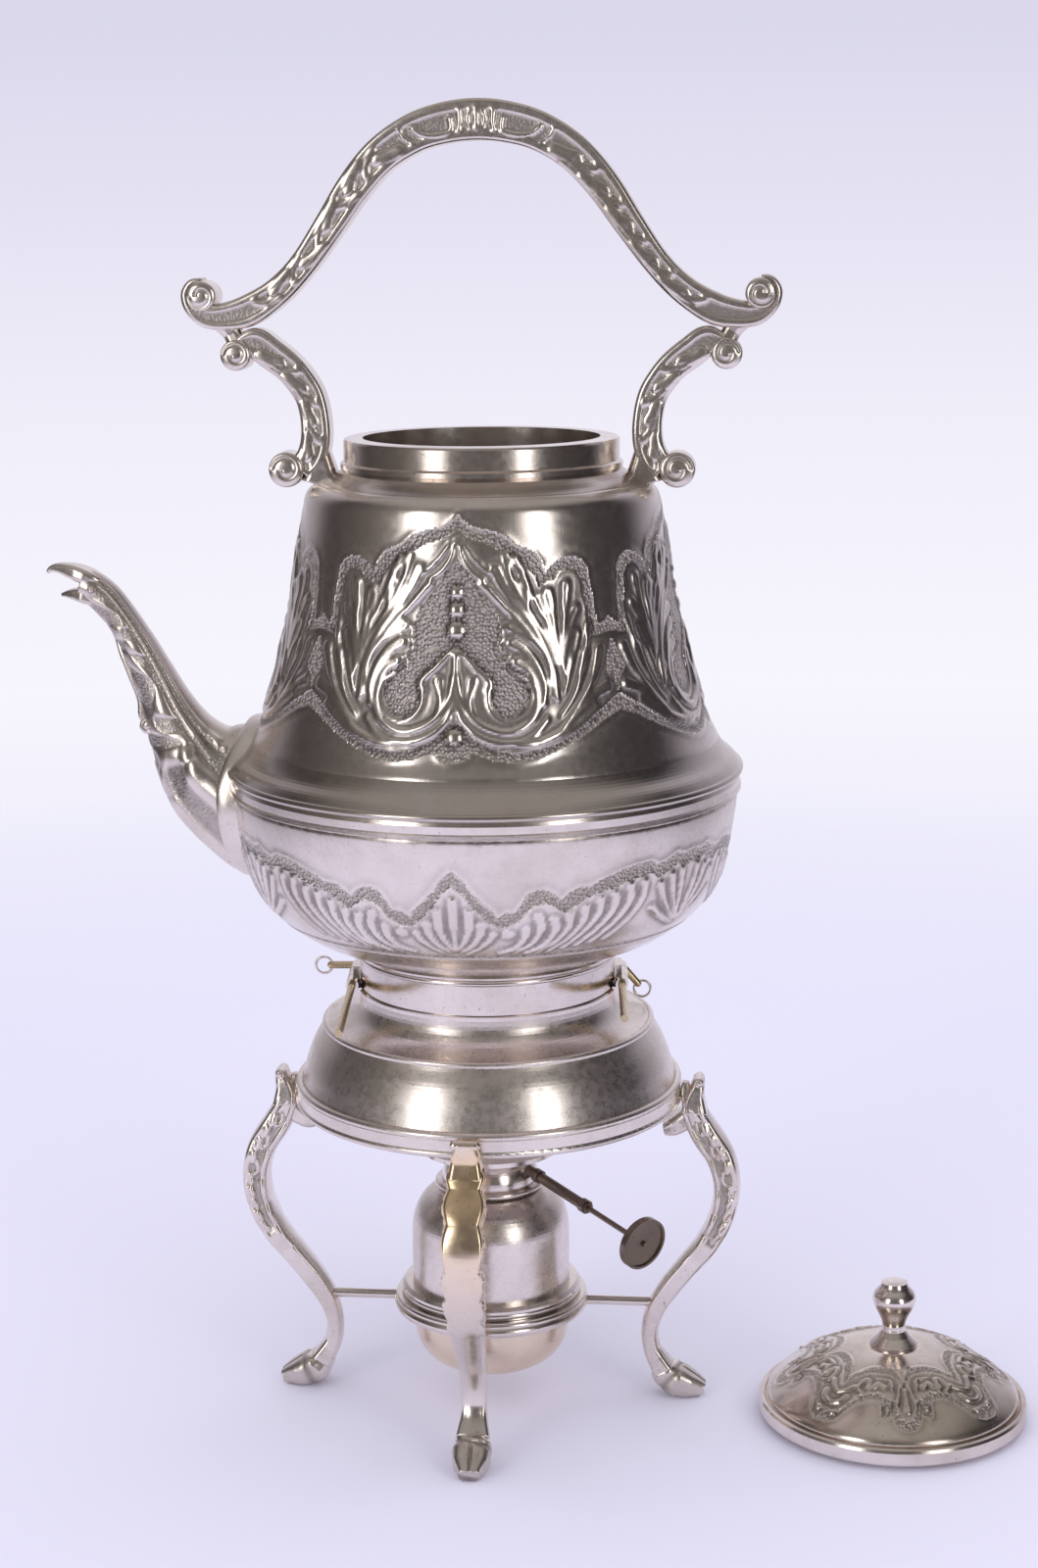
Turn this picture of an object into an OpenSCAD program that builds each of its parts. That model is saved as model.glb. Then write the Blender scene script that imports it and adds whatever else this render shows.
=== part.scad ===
// Spirit kettle on stand: a tipping kettle with an arched handle and a cast spout,
// hinged by drawn pins on a four-legged stand that holds a spirit burner.
// Millimetres. +Z is up, the floor is z = 0, the kettle's axis is x = y = 0,
// the spout points along -X and the front leg stands at -Y.

/* [Stand] */
// Outer radius of the stand's neck, where the kettle's foot rests
neck_r = 40.2; // [39.8:0.1:41]
// Height of the seat on top of the neck
seat_z = 135.1; // [133:0.1:137]
// Outer radius of the rim band under the dome
rim_r = 59.6; // [58.6:0.1:60.2]
// Height of the underside of the rim band
rim_z = 97.9; // [97.4:0.1:98.4]
// Sheet thickness of the dome
dome_wall = 1.2; // [0.8:0.1:1.6]
// Width of a leg at the knee
leg_w = 12; // [10:0.5:14]
// Width of a leg at the ankle
ankle_w = 8.4; // [7:0.2:10]
// Diameter of the four stretcher rods
rod_d = 3; // [2.4:0.1:3.6]
// Height of the stretcher rods
rod_z = 30.8; // [29.8:0.1:31.4]

/* [Kettle] */
// Sheet thickness of the kettle's walls
wall = 1.2; // [0.8:0.1:1.6]
// Outer radius of the mouth collar
collar_r = 41; // [40.6:0.1:41.6]
// Inner radius of the mouth
mouth_r = 35.3; // [34.8:0.1:35.8]
// Height of the top of the collar
collar_z = 302.6; // [301.6:0.1:303.6]
// Radius of the girdle moulding
girdle_r = 78.2; // [77.8:0.1:79]
// How far the kettle's foot ring stands inside the edge of the stand's neck
foot_in = 0.9; // [0.7:0.1:1.4]
// Diameter of the strainer holes behind the spout
strain_d = 3.4; // [2:0.2:4]

/* [Handle] */
// Height of the top of the handle
handle_z = 400; // [396:0.5:404]
// Thickness of the handle at its top, seen from the front
handle_t = 12; // [10:0.5:13]
// Width of the handle from front to back
handle_w = 10; // [8:0.5:12]
// Width of the two scroll brackets from front to back
bracket_w = 9; // [7:0.5:9.5]

/* [Spout] */
// Half width of the spout at its flange
spout_half = 15; // [13:0.5:16]
// Wall thickness of the spout casting
spout_wall = 1.5; // [1.2:0.1:1.8]
// How far the flange that backs the spout reaches past the spout on either side
flange_edge = 6; // [5:0.2:7]

/* [Pins] */
// Distance of each pin's line outside the stand's neck
pin_out = 1.1; // [1:0.1:1.6]
// Diameter of the retaining pins
pin_d = 2.3; // [2:0.1:2.4]
// Outer diameter of the knuckle tubes
tube_d = 3.9; // [3.8:0.1:4.2]
// Length of the row of three knuckles
tube_l = 21; // [18:0.5:24]
// Turn of the two pins about the kettle's axis, seen from above
pin_yaw = 4.5; // [0:0.5:6]
// Free length of the left pin in front of the knuckles
pin_free_l = 50; // [30:1:54]
// Free length of the right pin in front of the knuckles
pin_free_r = 36; // [30:1:54]

/* [Burner] */
// Outer radius of the spirit reservoir
res_r = 24.7; // [24:0.1:24.8]
// Radius of the flat plate on top of the burner
plate_r = 22; // [18:0.5:24]
// Outer radius of the holder ring
holder_r = 30.7; // [30:0.1:31.4]
// Radius of the wick
wick_r = 2.9; // [2:0.1:3]
// Direction of the winder spindle, seen from above
spin_az = -45.3; // [-50:0.1:-40]
// Angle at which the spindle slopes down towards its knob
spin_dip = 8.9; // [6:0.1:10]
// Radius of the winder's knurled knob
knob_r = 8; // [6:0.2:9]

/* [Lid] */
// Outer radius of the lid's rim
lid_r = 41.3; // [40.6:0.1:41.6]
// Position of the lid on the table, to the right of the kettle's axis
lid_x = 126.2; // [122:0.2:130]
// Position of the lid on the table, in front of the kettle's axis
lid_y = -9.2; // [-14:0.2:-5]
// Depth of the locating lip below the lid's rim
lip_h = 1.5; // [1:0.1:3]

/* [Fits] */
// Radial clearance of a pin in its knuckles, and of the spindle in its sleeve
run_gap = 0.08; // [0.04:0.01:0.1]
// Clearance between pieces that move past each other
move_gap = 0.35; // [0.25:0.05:0.5]

/* [Hidden] */
$fn = 96;

// Metal colours, as the photo shows them
plate_c = [0.74, 0.71, 0.68];
dark_c = [0.30, 0.26, 0.23];
brass_c = [0.72, 0.56, 0.30];
copper_c = [0.80, 0.60, 0.50];
wick_c = [0.86, 0.82, 0.74];

// Point j of a smooth curve through the points p, at the fraction t of a span
function span_pt(p, j, t) = let(n = len(p), a = p[max(j - 1, 0)], b = p[j],
    c = p[min(j + 1, n - 1)], d = p[min(j + 2, n - 1)])
    0.5 * (2 * b + (c - a) * t + (2 * a - 5 * b + 4 * c - d) * t * t
        + (3 * b - a - 3 * c + d) * t * t * t);
// Smooth curve through the points p with n steps in each span
function smooth(p, n) = concat(
    [for (j = [0:len(p) - 2]) for (k = [0:n - 1]) span_pt(p, j, k / n)], [p[len(p) - 1]]);
// Unit normal of the curve c at point i, to the left of its direction
function side(c, i) = let(a = c[max(i - 1, 0)], b = c[min(i + 1, len(c) - 1)],
    dx = b[0] - a[0], dy = b[1] - a[1], l = sqrt(dx * dx + dy * dy)) [-dy / l, dx / l];
// Value at the share t of the way from a to b
function mix(a, b, t) = a + (b - a) * t;
function flip(c) = [for (i = [len(c) - 1:-1:0]) c[i]];
// Outline of a strap: the centre line c with a thickness as each point's third number
function strap_outline(c) = concat(
    [for (i = [0:len(c) - 1]) [c[i][0], c[i][1]] + side(c, i) * c[i][2] / 2],
    flip([for (i = [0:len(c) - 1]) [c[i][0], c[i][1]] - side(c, i) * c[i][2] / 2]));
// Outline of a sheet: the outer profile c and the same profile moved inwards by t
function sheet_outline(c, t) = concat(c,
    flip([for (i = [0:len(c) - 1]) c[i] + side(c, i) * t]));

// Upright plate of width w in the XZ plane
module upright(outline, w) {
    rotate([90, 0, 0])
        translate([0, 0, -w / 2])
            linear_extrude(w)
                polygon(outline);
}

// Round bar along Y through the point x, z
module bar_y(x, z, r, w) {
    translate([x, 0, z])
        rotate([90, 0, 0])
            cylinder(r = r, h = w, center = true);
}

// Stand

seat_t = 1.4;
dome_top = seat_z - seat_t;
rim_seat = rim_z + 7;
rim_top = rim_seat + 2.6;
step_r = rim_r - 9.2;
step_z = mix(rim_seat, dome_top, 0.6632);
// Outer profile of the dome from the rim up to the step, and of the neck from there to its top
dome_line = smooth([[rim_r - 1.6, rim_seat], [rim_r - 2.4, mix(rim_seat, step_z, 0.1623)],
    [rim_r - 3.6, mix(rim_seat, step_z, 0.3927)], [rim_r - 5.6, mix(rim_seat, step_z, 0.6545)],
    [rim_r - 8, mix(rim_seat, step_z, 0.8743)], [step_r, step_z]], 4);
neck_line = smooth([[step_r, step_z], [mix(neck_r, step_r, 0.5686), mix(step_z, dome_top, 0.1237)],
    [mix(neck_r, step_r, 0.2353), mix(step_z, dome_top, 0.3299)],
    [neck_r + 0.4, mix(step_z, dome_top, 0.6392)], [neck_r, dome_top]], 4);

module stand_dome() {
    color(plate_c)
        rotate_extrude()
            difference() {
                union() {
                    polygon(sheet_outline(dome_line, dome_wall));
                    polygon(sheet_outline(neck_line, dome_wall));
                    translate([step_r - 0.2, step_z - 0.6])
                        circle(r = 1.1);
                }
                translate([0, rim_seat - 2])
                    square([rim_r, 2]);
                translate([0, dome_top])
                    square([rim_r, 2]);
            }
}

module stand_rim_band() {
    inner = rim_r - 4.4;
    color(plate_c)
        rotate_extrude()
            difference() {
                union() {
                    polygon([[inner, rim_z], [rim_r - 0.6, rim_z], [rim_r, rim_z + 0.8],
                        [rim_r, rim_z + 5.4], [rim_r - 0.5, rim_z + 6], [rim_r - 0.5, rim_seat],
                        [inner, rim_seat]]);
                    translate([rim_r - 0.7, rim_z + 1.2])
                        circle(r = 1.2);
                    translate([rim_r - 1, rim_seat - 0.6])
                        circle(r = 1.3);
                }
                polygon([[inner - 2, rim_seat], [rim_r - 1.6, rim_seat],
                    [rim_r - 1.9, rim_top], [inner - 2, rim_top]]);
            }
}

module neck_seat_ring() {
    color(plate_c)
        rotate_extrude()
            polygon([[neck_r - 4.6, dome_top], [neck_r, dome_top], [neck_r, seat_z - 0.3],
                [neck_r - 0.3, seat_z], [neck_r - 4.6, seat_z]]);
}

// Centre line of a leg in its own upright plane: distance outside the rim, height as a share
// of the rim's height, and thickness
leg_line = [for (p = [[3.8, 1.0051, 6.5], [4.3, 0.9622, 7], [7, 0.905, 8], [12.6, 0.8131, 8],
    [14.6, 0.7191, 7.5], [13.2, 0.621, 7], [8.8, 0.5271, 6.4], [2.4, 0.4433, 6], [-2.9, 0.3718, 6],
    [-7.1, 0.3023, 5.4], [-9.3, 0.2247, 4.5], [-8.6, 0.1532, 4.8], [-5, 0.0878, 6.4]])
    [rim_r + p[0], rim_z * p[1], p[2]]];
leaf_z = rim_z + 7.9;
// Outline of the hoof: distance outside the rim, and height
hoof_line = smooth([for (p = [[-8.2, 6], [-7.2, 12.4], [-2, 12.6], [4, 10], [9.8, 6.8], [12, 3],
    [10.8, 0.01]]) [rim_r + p[0], p[1]]], 4);
// Half width of a leg against its height
leg_width = smooth([[ankle_w / 2 + 1.4, 0], [ankle_w / 2 + 1.3, 8], [ankle_w / 2, 15],
    [ankle_w / 2, 26], [leg_w / 2 - 1, rim_z * 0.4086], [leg_w / 2 - 0.2, rim_z * 0.572],
    [leg_w / 2, rim_z * 0.7354], [leg_w / 2 - 0.2, rim_z - 9.9], [leg_w / 2 - 0.8, rim_z - 0.9],
    [leg_w / 2 - 1.6, leaf_z]], 4);

module leg_blank() {
    intersection() {
        union() {
            upright(strap_outline(smooth(leg_line, 4)), leg_w + 1);
            upright(concat(hoof_line, [[rim_r - 4.6, 0], [rim_r - 7.6, 1.6]]), leg_w + 1);
            translate([rim_r + 0.1, -leg_w / 2, rim_z])
                cube([7, leg_w, leaf_z - rim_z]);
            translate([rim_r - 2.6, -leg_w / 2, rim_z - 4.5])
                cube([6, leg_w, 4.5]);
            bar_y(rim_r - 2.2, rim_z - 8.5, 3.4, leg_w);
            bar_y(rim_r + 0.8, rim_z - 7.3, 3, leg_w);
        }
        rotate([90, 0, 90])
            translate([0, 0, rim_r - 20])
                linear_extrude(60)
                    polygon(concat(leg_width,
                        flip([for (p = leg_width) [-p[0], p[1]]])));
    }
}

// A leg without the volume of the rim band behind its leaf
module leg() {
    color(plate_c)
        difference() {
            leg_blank();
            translate([0, 0, rim_z])
                cylinder(r = rim_r + 0.5, h = 20);
        }
}

module leg_right() {
    leg();
}

module leg_back() {
    rotate([0, 0, 90])
        leg();
}

module leg_left() {
    rotate([0, 0, 180])
        leg();
}

module leg_front() {
    rotate([0, 0, -90])
        leg();
}

holder_in = res_r + move_gap + 0.25;
holder_low = rod_z - 1.6;
holder_top = rod_z + 3.2;
rod_s = holder_r - 1.4;
rod_e = rim_r - 8.6;
module burner_holder_ring() {
    color(plate_c)
        rotate_extrude()
            union() {
                polygon([[holder_in, holder_low], [holder_r - 1, holder_low],
                    [holder_r - 1, holder_top], [holder_in, holder_top]]);
                translate([holder_r - 1.7, holder_low + 1.7])
                    circle(r = 1.7);
                translate([holder_r - 1.6, holder_top - 1.1])
                    circle(r = 1.1);
            }
}

// Rod from inside the ring to inside a leg, both as press fits
module stretcher() {
    color(plate_c)
        translate([rod_s, 0, rod_z])
            rotate([0, 90, 0])
                cylinder(d = rod_d, h = rod_e - rod_s);
}

module stretcher_right() {
    stretcher();
}

module stretcher_back() {
    rotate([0, 0, 90])
        stretcher();
}

module stretcher_left() {
    rotate([0, 0, 180])
        stretcher();
}

module stretcher_front() {
    rotate([0, 0, -90])
        stretcher();
}

// Hinge and pins

pin_x = neck_r + pin_out;
pin_z = seat_z + 1.4;
end_l = 5.6;
mid_l = tube_l - 2 * end_l - 2 * move_gap;

// Children turned to the line of a pin: s = -1 for the left and 1 for the right
module on_pin(s) {
    rotate([0, 0, pin_yaw])
        translate([s * pin_x, 0, pin_z])
            children();
}

module pin_hole(l) {
    rotate([90, 0, 0])
        cylinder(d = pin_d + 2 * run_gap, h = l, center = true);
}

// Solid inside the neck's outer face
module neck_mass() {
    rotate_extrude()
        polygon(concat(neck_line, [[neck_r, seat_z], [0, seat_z], [0, step_z]]));
}

// Two end knuckles, each with a web down to the neck
module stand_lugs(s) {
    color(plate_c)
        difference() {
            on_pin(s)
                for (y = [-tube_l / 2, tube_l / 2 - end_l])
                    translate([0, y, 0]) {
                        rotate([-90, 0, 0])
                            cylinder(d = tube_d, h = end_l);
                        translate([s > 0 ? -3.6 : -1.4, 0, -6])
                            cube([5, end_l, 5.2]);
                    }
            on_pin(s)
                pin_hole(tube_l + 4);
            neck_mass();
            translate([0, 0, seat_z])
                cylinder(r = foot_r + move_gap, h = 12);
        }
}

module hinge_lugs_left() {
    stand_lugs(-1);
}

module pin_lugs_right() {
    stand_lugs(1);
}

// Space that the kettle's own knuckle must leave to its foot and to the stand
module knuckle_limits() {
    foot_mass();
    cylinder(r = neck_r + move_gap, h = seat_z + move_gap);
}

module hinge_knuckle_left() {
    color(plate_c)
        difference() {
            on_pin(-1)
                difference() {
                    union() {
                        rotate([90, 0, 0])
                            cylinder(d = tube_d, h = mid_l, center = true);
                        translate([0, -mid_l / 2, 0.4])
                            cube([3, mid_l, 4]);
                    }
                    pin_hole(mid_l + 2);
                }
            knuckle_limits();
        }
}

// Saddle that sits over the right pin and lifts off it, open below
module pin_saddle_right() {
    slot = pin_d + 2 * run_gap;
    color(plate_c)
        difference() {
            on_pin(1)
                difference() {
                    union() {
                        rotate([90, 0, 0])
                            cylinder(d = tube_d, h = mid_l, center = true);
                        translate([-3, -mid_l / 2, 0.4])
                            cube([3, mid_l, 4]);
                    }
                    pin_hole(mid_l + 2);
                    translate([-slot / 2, -mid_l / 2 - 1, -4])
                        cube([slot, mid_l + 2, 4]);
                }
            knuckle_limits();
        }
}

arm_l = 8.4;
ring_r = 2.6;
ring_wire = 0.4;
ring_sag = 0.14;
arm_y = tube_l / 2 + 2.4;
eye_z = arm_l - 0.5;

// Children in the frame of a pin's bent arm, whose local Z runs out along the arm
module on_arm(dip) {
    translate([0, arm_y, 0])
        rotate([0, 90 + dip, 0])
            children();
}

// Straight pin with its bent arm behind the knuckles; dip turns the arm down
module retaining_pin(free, dip) {
    color(brass_c)
        difference() {
            union() {
                translate([0, arm_y, 0])
                    rotate([90, 0, 0])
                        cylinder(d = pin_d, h = arm_y + tube_l / 2 + free);
                translate([0, arm_y, 0])
                    sphere(d = pin_d);
                on_arm(dip) {
                    cylinder(d = pin_d, h = arm_l);
                    translate([0, 0, arm_l])
                        sphere(d = pin_d);
                }
            }
            on_arm(dip)
                translate([0, 0, eye_z + ring_sag])
                    rotate([0, 90, 0])
                        cylinder(r = ring_wire + ring_sag + 0.1, h = 6, center = true);
        }
}

// Split ring through the eye in the end of the arm
module pin_ring(dip) {
    color(plate_c)
        on_arm(dip)
            translate([0, 0, eye_z + ring_r])
                rotate([90, 0, 0])
                    rotate_extrude()
                        translate([ring_r, 0])
                            circle(r = ring_wire, $fn = 24);
}

module retaining_pin_left() {
    on_pin(-1)
        mirror([1, 0, 0])
            retaining_pin(pin_free_l, 0);
}

module retaining_pin_right() {
    on_pin(1)
        retaining_pin(pin_free_r, 50);
}

module pin_ring_left() {
    on_pin(-1)
        mirror([1, 0, 0])
            pin_ring(0);
}

module pin_ring_right() {
    on_pin(1)
        pin_ring(50);
}

// Kettle

foot_r = neck_r - foot_in;
foot_z = seat_z + 0.1;
foot_top = foot_z + 12;
seam_z = foot_z + 68.2;
shell_r = collar_r + 0.6;
shell_top = collar_z - 9.2;
// Outer profile of the upper body, from the girdle up to the collar: how far out it lies
// between the collar and the girdle, and how far up between the seam and the top
upper_line = smooth([for (p = [[1, 0], [0.9344, 0.0333], [0.8525, 0.0622], [0.7814, 0.1067],
    [0.6831, 0.1889], [0.5874, 0.3044], [0.4945, 0.4689], [0.4208, 0.6022], [0.3743, 0.7333],
    [0.3224, 0.8622], [0.2896, 0.9244], [0.2022, 0.9544], [0.0765, 0.98], [0, 1]])
    [mix(shell_r, girdle_r, p[0]), mix(seam_z, shell_top, p[1])]], 4);
bowl_in = foot_r + 2.7;
bowl_out = girdle_r - 1.7;
bowl_low = foot_top + 1;
bowl_top = seam_z - 6;
// Outer profile of the lower bowl, from its bottom up to the band, in the same way
bowl_line = smooth([for (p = [[0, 0], [0.1739, 0.0528], [0.3826, 0.1159], [0.5797, 0.2114],
    [0.7188, 0.313], [0.8174, 0.4268], [0.9072, 0.5976], [0.9623, 0.7764], [0.9884, 0.9065], [1, 1]])
    [mix(bowl_in, bowl_out, p[0]), mix(bowl_low, bowl_top, p[1])]], 4);

// Holes that strain the leaves, in the wall behind the spout
module strainer_holes() {
    for (row = [0:3])
        for (k = [-(row % 2) - 1:2:(row % 2) + 1])
            translate([-girdle_r + 18.2, k * 3.2, seam_z + [-23.4, -17, 7, 12.6][row]])
                rotate([0, -90, 0])
                    cylinder(d = strain_d, h = 30, $fn = 32);
}

module kettle_upper_shell() {
    color(plate_c)
        difference() {
            rotate_extrude()
                union() {
                    polygon(sheet_outline(upper_line, wall));
                    translate([girdle_r - 1.2, seam_z])
                        circle(r = 1.2);
                    translate([girdle_r - 5.2, seam_z - 1.2])
                        square([3.4, 2]);
                    polygon([[girdle_r - 3.2, seam_z - 1.2], [girdle_r - 1.2, seam_z - 1.2],
                        [girdle_r - 0.2, seam_z], [girdle_r - 5.2, seam_z + 2]]);
                }
            strainer_holes();
        }
}

module kettle_lower_bowl() {
    color(plate_c)
        difference() {
            rotate_extrude()
                union() {
                    polygon(sheet_outline(bowl_line, wall));
                    polygon([[0, foot_top - 0.6], [foot_r - 3.3, foot_top], [foot_r + 2.1, foot_top],
                        [bowl_in, bowl_low], [bowl_in + 2, bowl_low + 1.1],
                        [bowl_in + 2, bowl_low + 1.8], [bowl_in - 0.5, bowl_low + 1.1],
                        [foot_r - 3.3, foot_top + 1.2], [0, foot_top + 0.6]]);
                    translate([girdle_r - 5.2, bowl_top - 0.4])
                        square([3.4, seam_z - bowl_top - 0.8]);
                }
            strainer_holes();
        }
}

// Plain band over the seam of the two halves
module girdle_band() {
    color(plate_c)
        difference() {
            rotate_extrude()
                polygon([[girdle_r - 1.8, seam_z - 5.9], [girdle_r - 1.3, seam_z - 6.5],
                    [girdle_r - 0.6, seam_z - 6], [girdle_r - 0.6, seam_z - 5],
                    [girdle_r - 1.1, seam_z - 4.6], [girdle_r - 0.9, seam_z - 2.4],
                    [girdle_r - 1.3, seam_z - 1.3], [girdle_r - 1.8, seam_z - 1.3]]);
            flange_column();
        }
}

shell_end = len(upper_line) - 1;
module mouth_collar() {
    color(plate_c)
        rotate_extrude()
            polygon([[mouth_r, collar_z - 15.6], [mouth_r + 1, collar_z - 15.6],
                [mouth_r + 1, collar_z - 11.2],
                upper_line[shell_end] + side(upper_line, shell_end) * wall, upper_line[shell_end],
                [collar_r + 1, collar_z - 8.6], [collar_r + 1, collar_z - 7.2],
                [collar_r, collar_z - 6.6],
                [collar_r, collar_z - 0.8], [collar_r - 0.3, collar_z - 0.2],
                [collar_r - 1, collar_z], [mouth_r, collar_z]]);
}

module kettle_foot_ring() {
    color(plate_c)
        rotate_extrude()
            union() {
                polygon([[foot_r - 1.6, foot_z], [foot_r, foot_z], [foot_r, foot_top - 2.4],
                    [foot_r + 1.4, foot_top - 0.8], [foot_r + 1.7, foot_top],
                    [foot_r - 1.6, foot_top]]);
                translate([foot_r - 0.1, foot_top - 2.2])
                    circle(r = 0.9);
            }
}

// Solid inside the kettle's outer faces
module kettle_mass() {
    rotate_extrude()
        union() {
            polygon(concat([[0, foot_top], [foot_r + 2.1, foot_top]], bowl_line,
                [[girdle_r - 0.6, bowl_top], [girdle_r - 0.9, seam_z - 2.4]], upper_line,
                [[0, shell_top]]));
            translate([girdle_r - 1.2, seam_z])
                circle(r = 1.2);
        }
}

// Solid inside the foot ring's outer face
module foot_mass() {
    cylinder(r = foot_r, h = foot_top + 10);
    translate([0, 0, foot_top - 3.1])
        cylinder(r = foot_r + 1.8, h = 12);
}

// Spout

flange_mid = seam_z - 10.6;
flange_half = 25.6;
// Oval column along X that outlines the flange on the body
module flange_column() {
    translate([-girdle_r - 30, 0, flange_mid])
        rotate([90, 0, 90])
            linear_extrude(50)
                polygon([for (t = [0:6:359]) [(spout_half + flange_edge) * cos(t), flange_half * sin(t)]]);
}

// Sections of the spout: distance outside the girdle, height above the seam, half height,
// half width, and direction above -X
stations = [for (p = [[-8.2, -11.9, 24, spout_half, 0], [-2.2, -11.6, 23, spout_half - 0.2, 0],
    [3.8, -8.2, 19.4, spout_half - 1, 12], [10.2, -0.8, 14.8, spout_half - 2.6, 38],
    [15.4, 8.6, 10.6, 10, 60], [19.5, 17.5, 8, 8.4, 66], [23.4, 26.9, 6.4, 7.2, 66],
    [27.7, 35.8, 5.5, 6.2, 62], [32.6, 44.1, 5, 5.6, 56], [37.2, 50.1, 5.1, 5.3, 46],
    [41.8, 53.8, 5.1, 5, 29], [47, 55.8, 5, 4.6, 14]])
    [-girdle_r - p[0], seam_z + p[1], p[2], p[3], p[4]]];
tip_x = -girdle_r - 47;
tip_z = seam_z + 55.8;
beak_upper = [tip_x - 7.2, tip_z + 2.7];
beak_lower = [tip_x - 3.8, tip_z - 3.8];

// Thin oval slice at the place and direction of section s, inside a wall w
module slice(s, w) {
    translate([s[0], 0, s[1]])
        rotate([0, s[4] - 90, 0])
            linear_extrude(0.02)
                scale([s[2] - w, s[3] - w])
                    circle(r = 1, $fn = 32);
}

module spout_tube(w) {
    for (i = [0:len(stations) - 2])
        hull() {
            slice(stations[i], w);
            slice(stations[i + 1], w);
        }
}

module spout() {
    color(plate_c)
        difference() {
            union() {
                spout_tube(0);
                hull() {
                    slice([tip_x + 3.2, tip_z + 1.2, 3.9, 4.9, 18], 0);
                    translate([beak_upper[0], 0, beak_upper[1]])
                        sphere(r = 1.2, $fn = 24);
                }
                hull() {
                    slice([tip_x + 3.2, tip_z - 3.2, 2.9, 4.6, 14], 0);
                    translate([beak_lower[0], 0, beak_lower[1]])
                        sphere(r = 0.9, $fn = 24);
                }
                bar_y(-girdle_r - 25.4, seam_z + 5.2, 2.4, 5);
            }
            spout_tube(spout_wall);
            hull() {
                slice([tip_x + 2.2, tip_z - 0.5, 2.8, 3.1, 16], 0);
                slice([tip_x - 3.8, tip_z - 0.9, 1.6, 2.8, 0], 0);
            }
            hull() {
                slice([tip_x, tip_z - 0.9, 1.7, 6, 0], 0);
                slice([tip_x - 11.8, tip_z - 0.6, 2.2, 6, 0], 0);
            }
            kettle_mass();
        }
}

// Outer edge of the flange, seen from the front: distance outside the girdle and height
// above the seam
flange_line = smooth([for (p = [[-7.8, -37.8], [-3.8, -34.8], [-0.2, -28.4], [2.4, -19.6],
    [3.5, -11.4], [3.3, -4.4], [1, 2.6], [-3.2, 9.6], [-7.6, 16.2]])
    [girdle_r + p[0], seam_z + p[1]]], 4);

module spout_flange() {
    color(plate_c)
        difference() {
            intersection() {
                flange_column();
                rotate_extrude()
                    polygon(concat(flange_line, [[foot_r, seam_z + 16.2], [foot_r, seam_z - 37.8]]));
            }
            kettle_mass();
            for (i = [0:2])
                hull() {
                    slice(stations[i], 0);
                    slice(stations[i + 1], 0);
                }
        }
}

// Handle

arch_low = collar_z + 35.6;
volute = [81.4, arch_low + 4.4];
volute_r = 6.3;
crown_z = handle_z - handle_t / 2;
// Centre line of half the handle: x, height between the low point and the top, thickness
half_arch = [for (p = [[0, 1, handle_t], [9.5, 0.9785, handle_t - 0.2],
    [18.5, 0.9444, 11.4], [29, 0.8369, 10.6], [37.1, 0.647, 10], [43.4, 0.4785, 8.8],
    [52, 0.2652, 7.8], [59.8, 0.1254, 8.2], [68.4, 0.0305, 9.2], [75.2, 0, 7.6], [79.6, 0.0072, 4]])
    [p[0], mix(arch_low, crown_z, p[1]), p[2]]];
arch_line = smooth(concat(
    [for (i = [len(half_arch) - 1:-1:1]) [-half_arch[i][0], half_arch[i][1], half_arch[i][2]]],
    half_arch), 4);

module handle_arch() {
    color(plate_c) {
        upright(strap_outline(arch_line), handle_w);
        for (s = [-1, 1])
            bar_y(s * volute[0], volute[1], volute_r, handle_w + 1);
    }
}

// Centre line of a bracket: distance outside the collar, height above the collar, thickness
bracket_line = [for (p = [[30.6, 27.2, 5], [25.8, 27.8, 8.8], [21.3, 24.7, 9.4], [16.2, 20.8, 9],
    [12.6, 16.6, 8.8], [9.8, 11.8, 8.6], [8.4, 5.4, 8.6], [8.4, -1.1, 8.8], [10, -6.2, 8.8],
    [13, -9.4, 8.4]])
    [collar_r + p[0], collar_z + p[1], p[2]]];

// Scroll bracket from the shoulder up to the handle's end, on the +X side
module bracket() {
    color(plate_c)
        difference() {
            union() {
                upright(strap_outline(smooth(bracket_line, 4)), bracket_w);
                bar_y(collar_r + 31.5, collar_z + 24.2, 5, bracket_w + 0.6);
                bar_y(collar_r + 17.2, collar_z - 9.6, 5.5, bracket_w + 0.6);
                upright([for (p = [[5.6, -16.6], [13, -16.6], [13, -8.6], [5.2, -5.6]])
                    [collar_r + p[0], collar_z + p[1]]], bracket_w);
                upright([for (p = [[21, 26.4], [30, 28.4], [32, 34.4], [23, 37.4]])
                    [collar_r + p[0], collar_z + p[1]]], bracket_w);
            }
            kettle_mass();
            upright(strap_outline(arch_line), handle_w + 1);
            bar_y(volute[0], volute[1], volute_r, handle_w + 2);
        }
}

module handle_bracket_left() {
    mirror([1, 0, 0])
        bracket();
}

module handle_bracket_right() {
    bracket();
}

// Burner

flange_z = holder_top + 0.15;
res_z = holder_top + 4;
cap_z = res_z + 31.2;
plate_z = cap_z + 12.2;
base_r = res_r - 0.4;
base_z = flange_z - 24.65;
base_wall = 0.8;
wick_z = base_z + 4.8;
tube_in = wick_r + 0.1;
tube_out = tube_in + 1;
spin_z = plate_z - 3.9;
spin_r = 0.85;
wheel_r = 2;
spin_off = wick_r + 0.3 + wheel_r;
sleeve_r = 1.65;
sleeve_s = 9;
sleeve_e = 42;
knob_s = 65.6;

// Children in the frame of the spindle, whose local Z runs out towards the knob
module on_spindle() {
    rotate([0, 0, spin_az])
        translate([0, spin_off, spin_z])
            rotate([0, 90 + spin_dip, 0])
                children();
}

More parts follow.
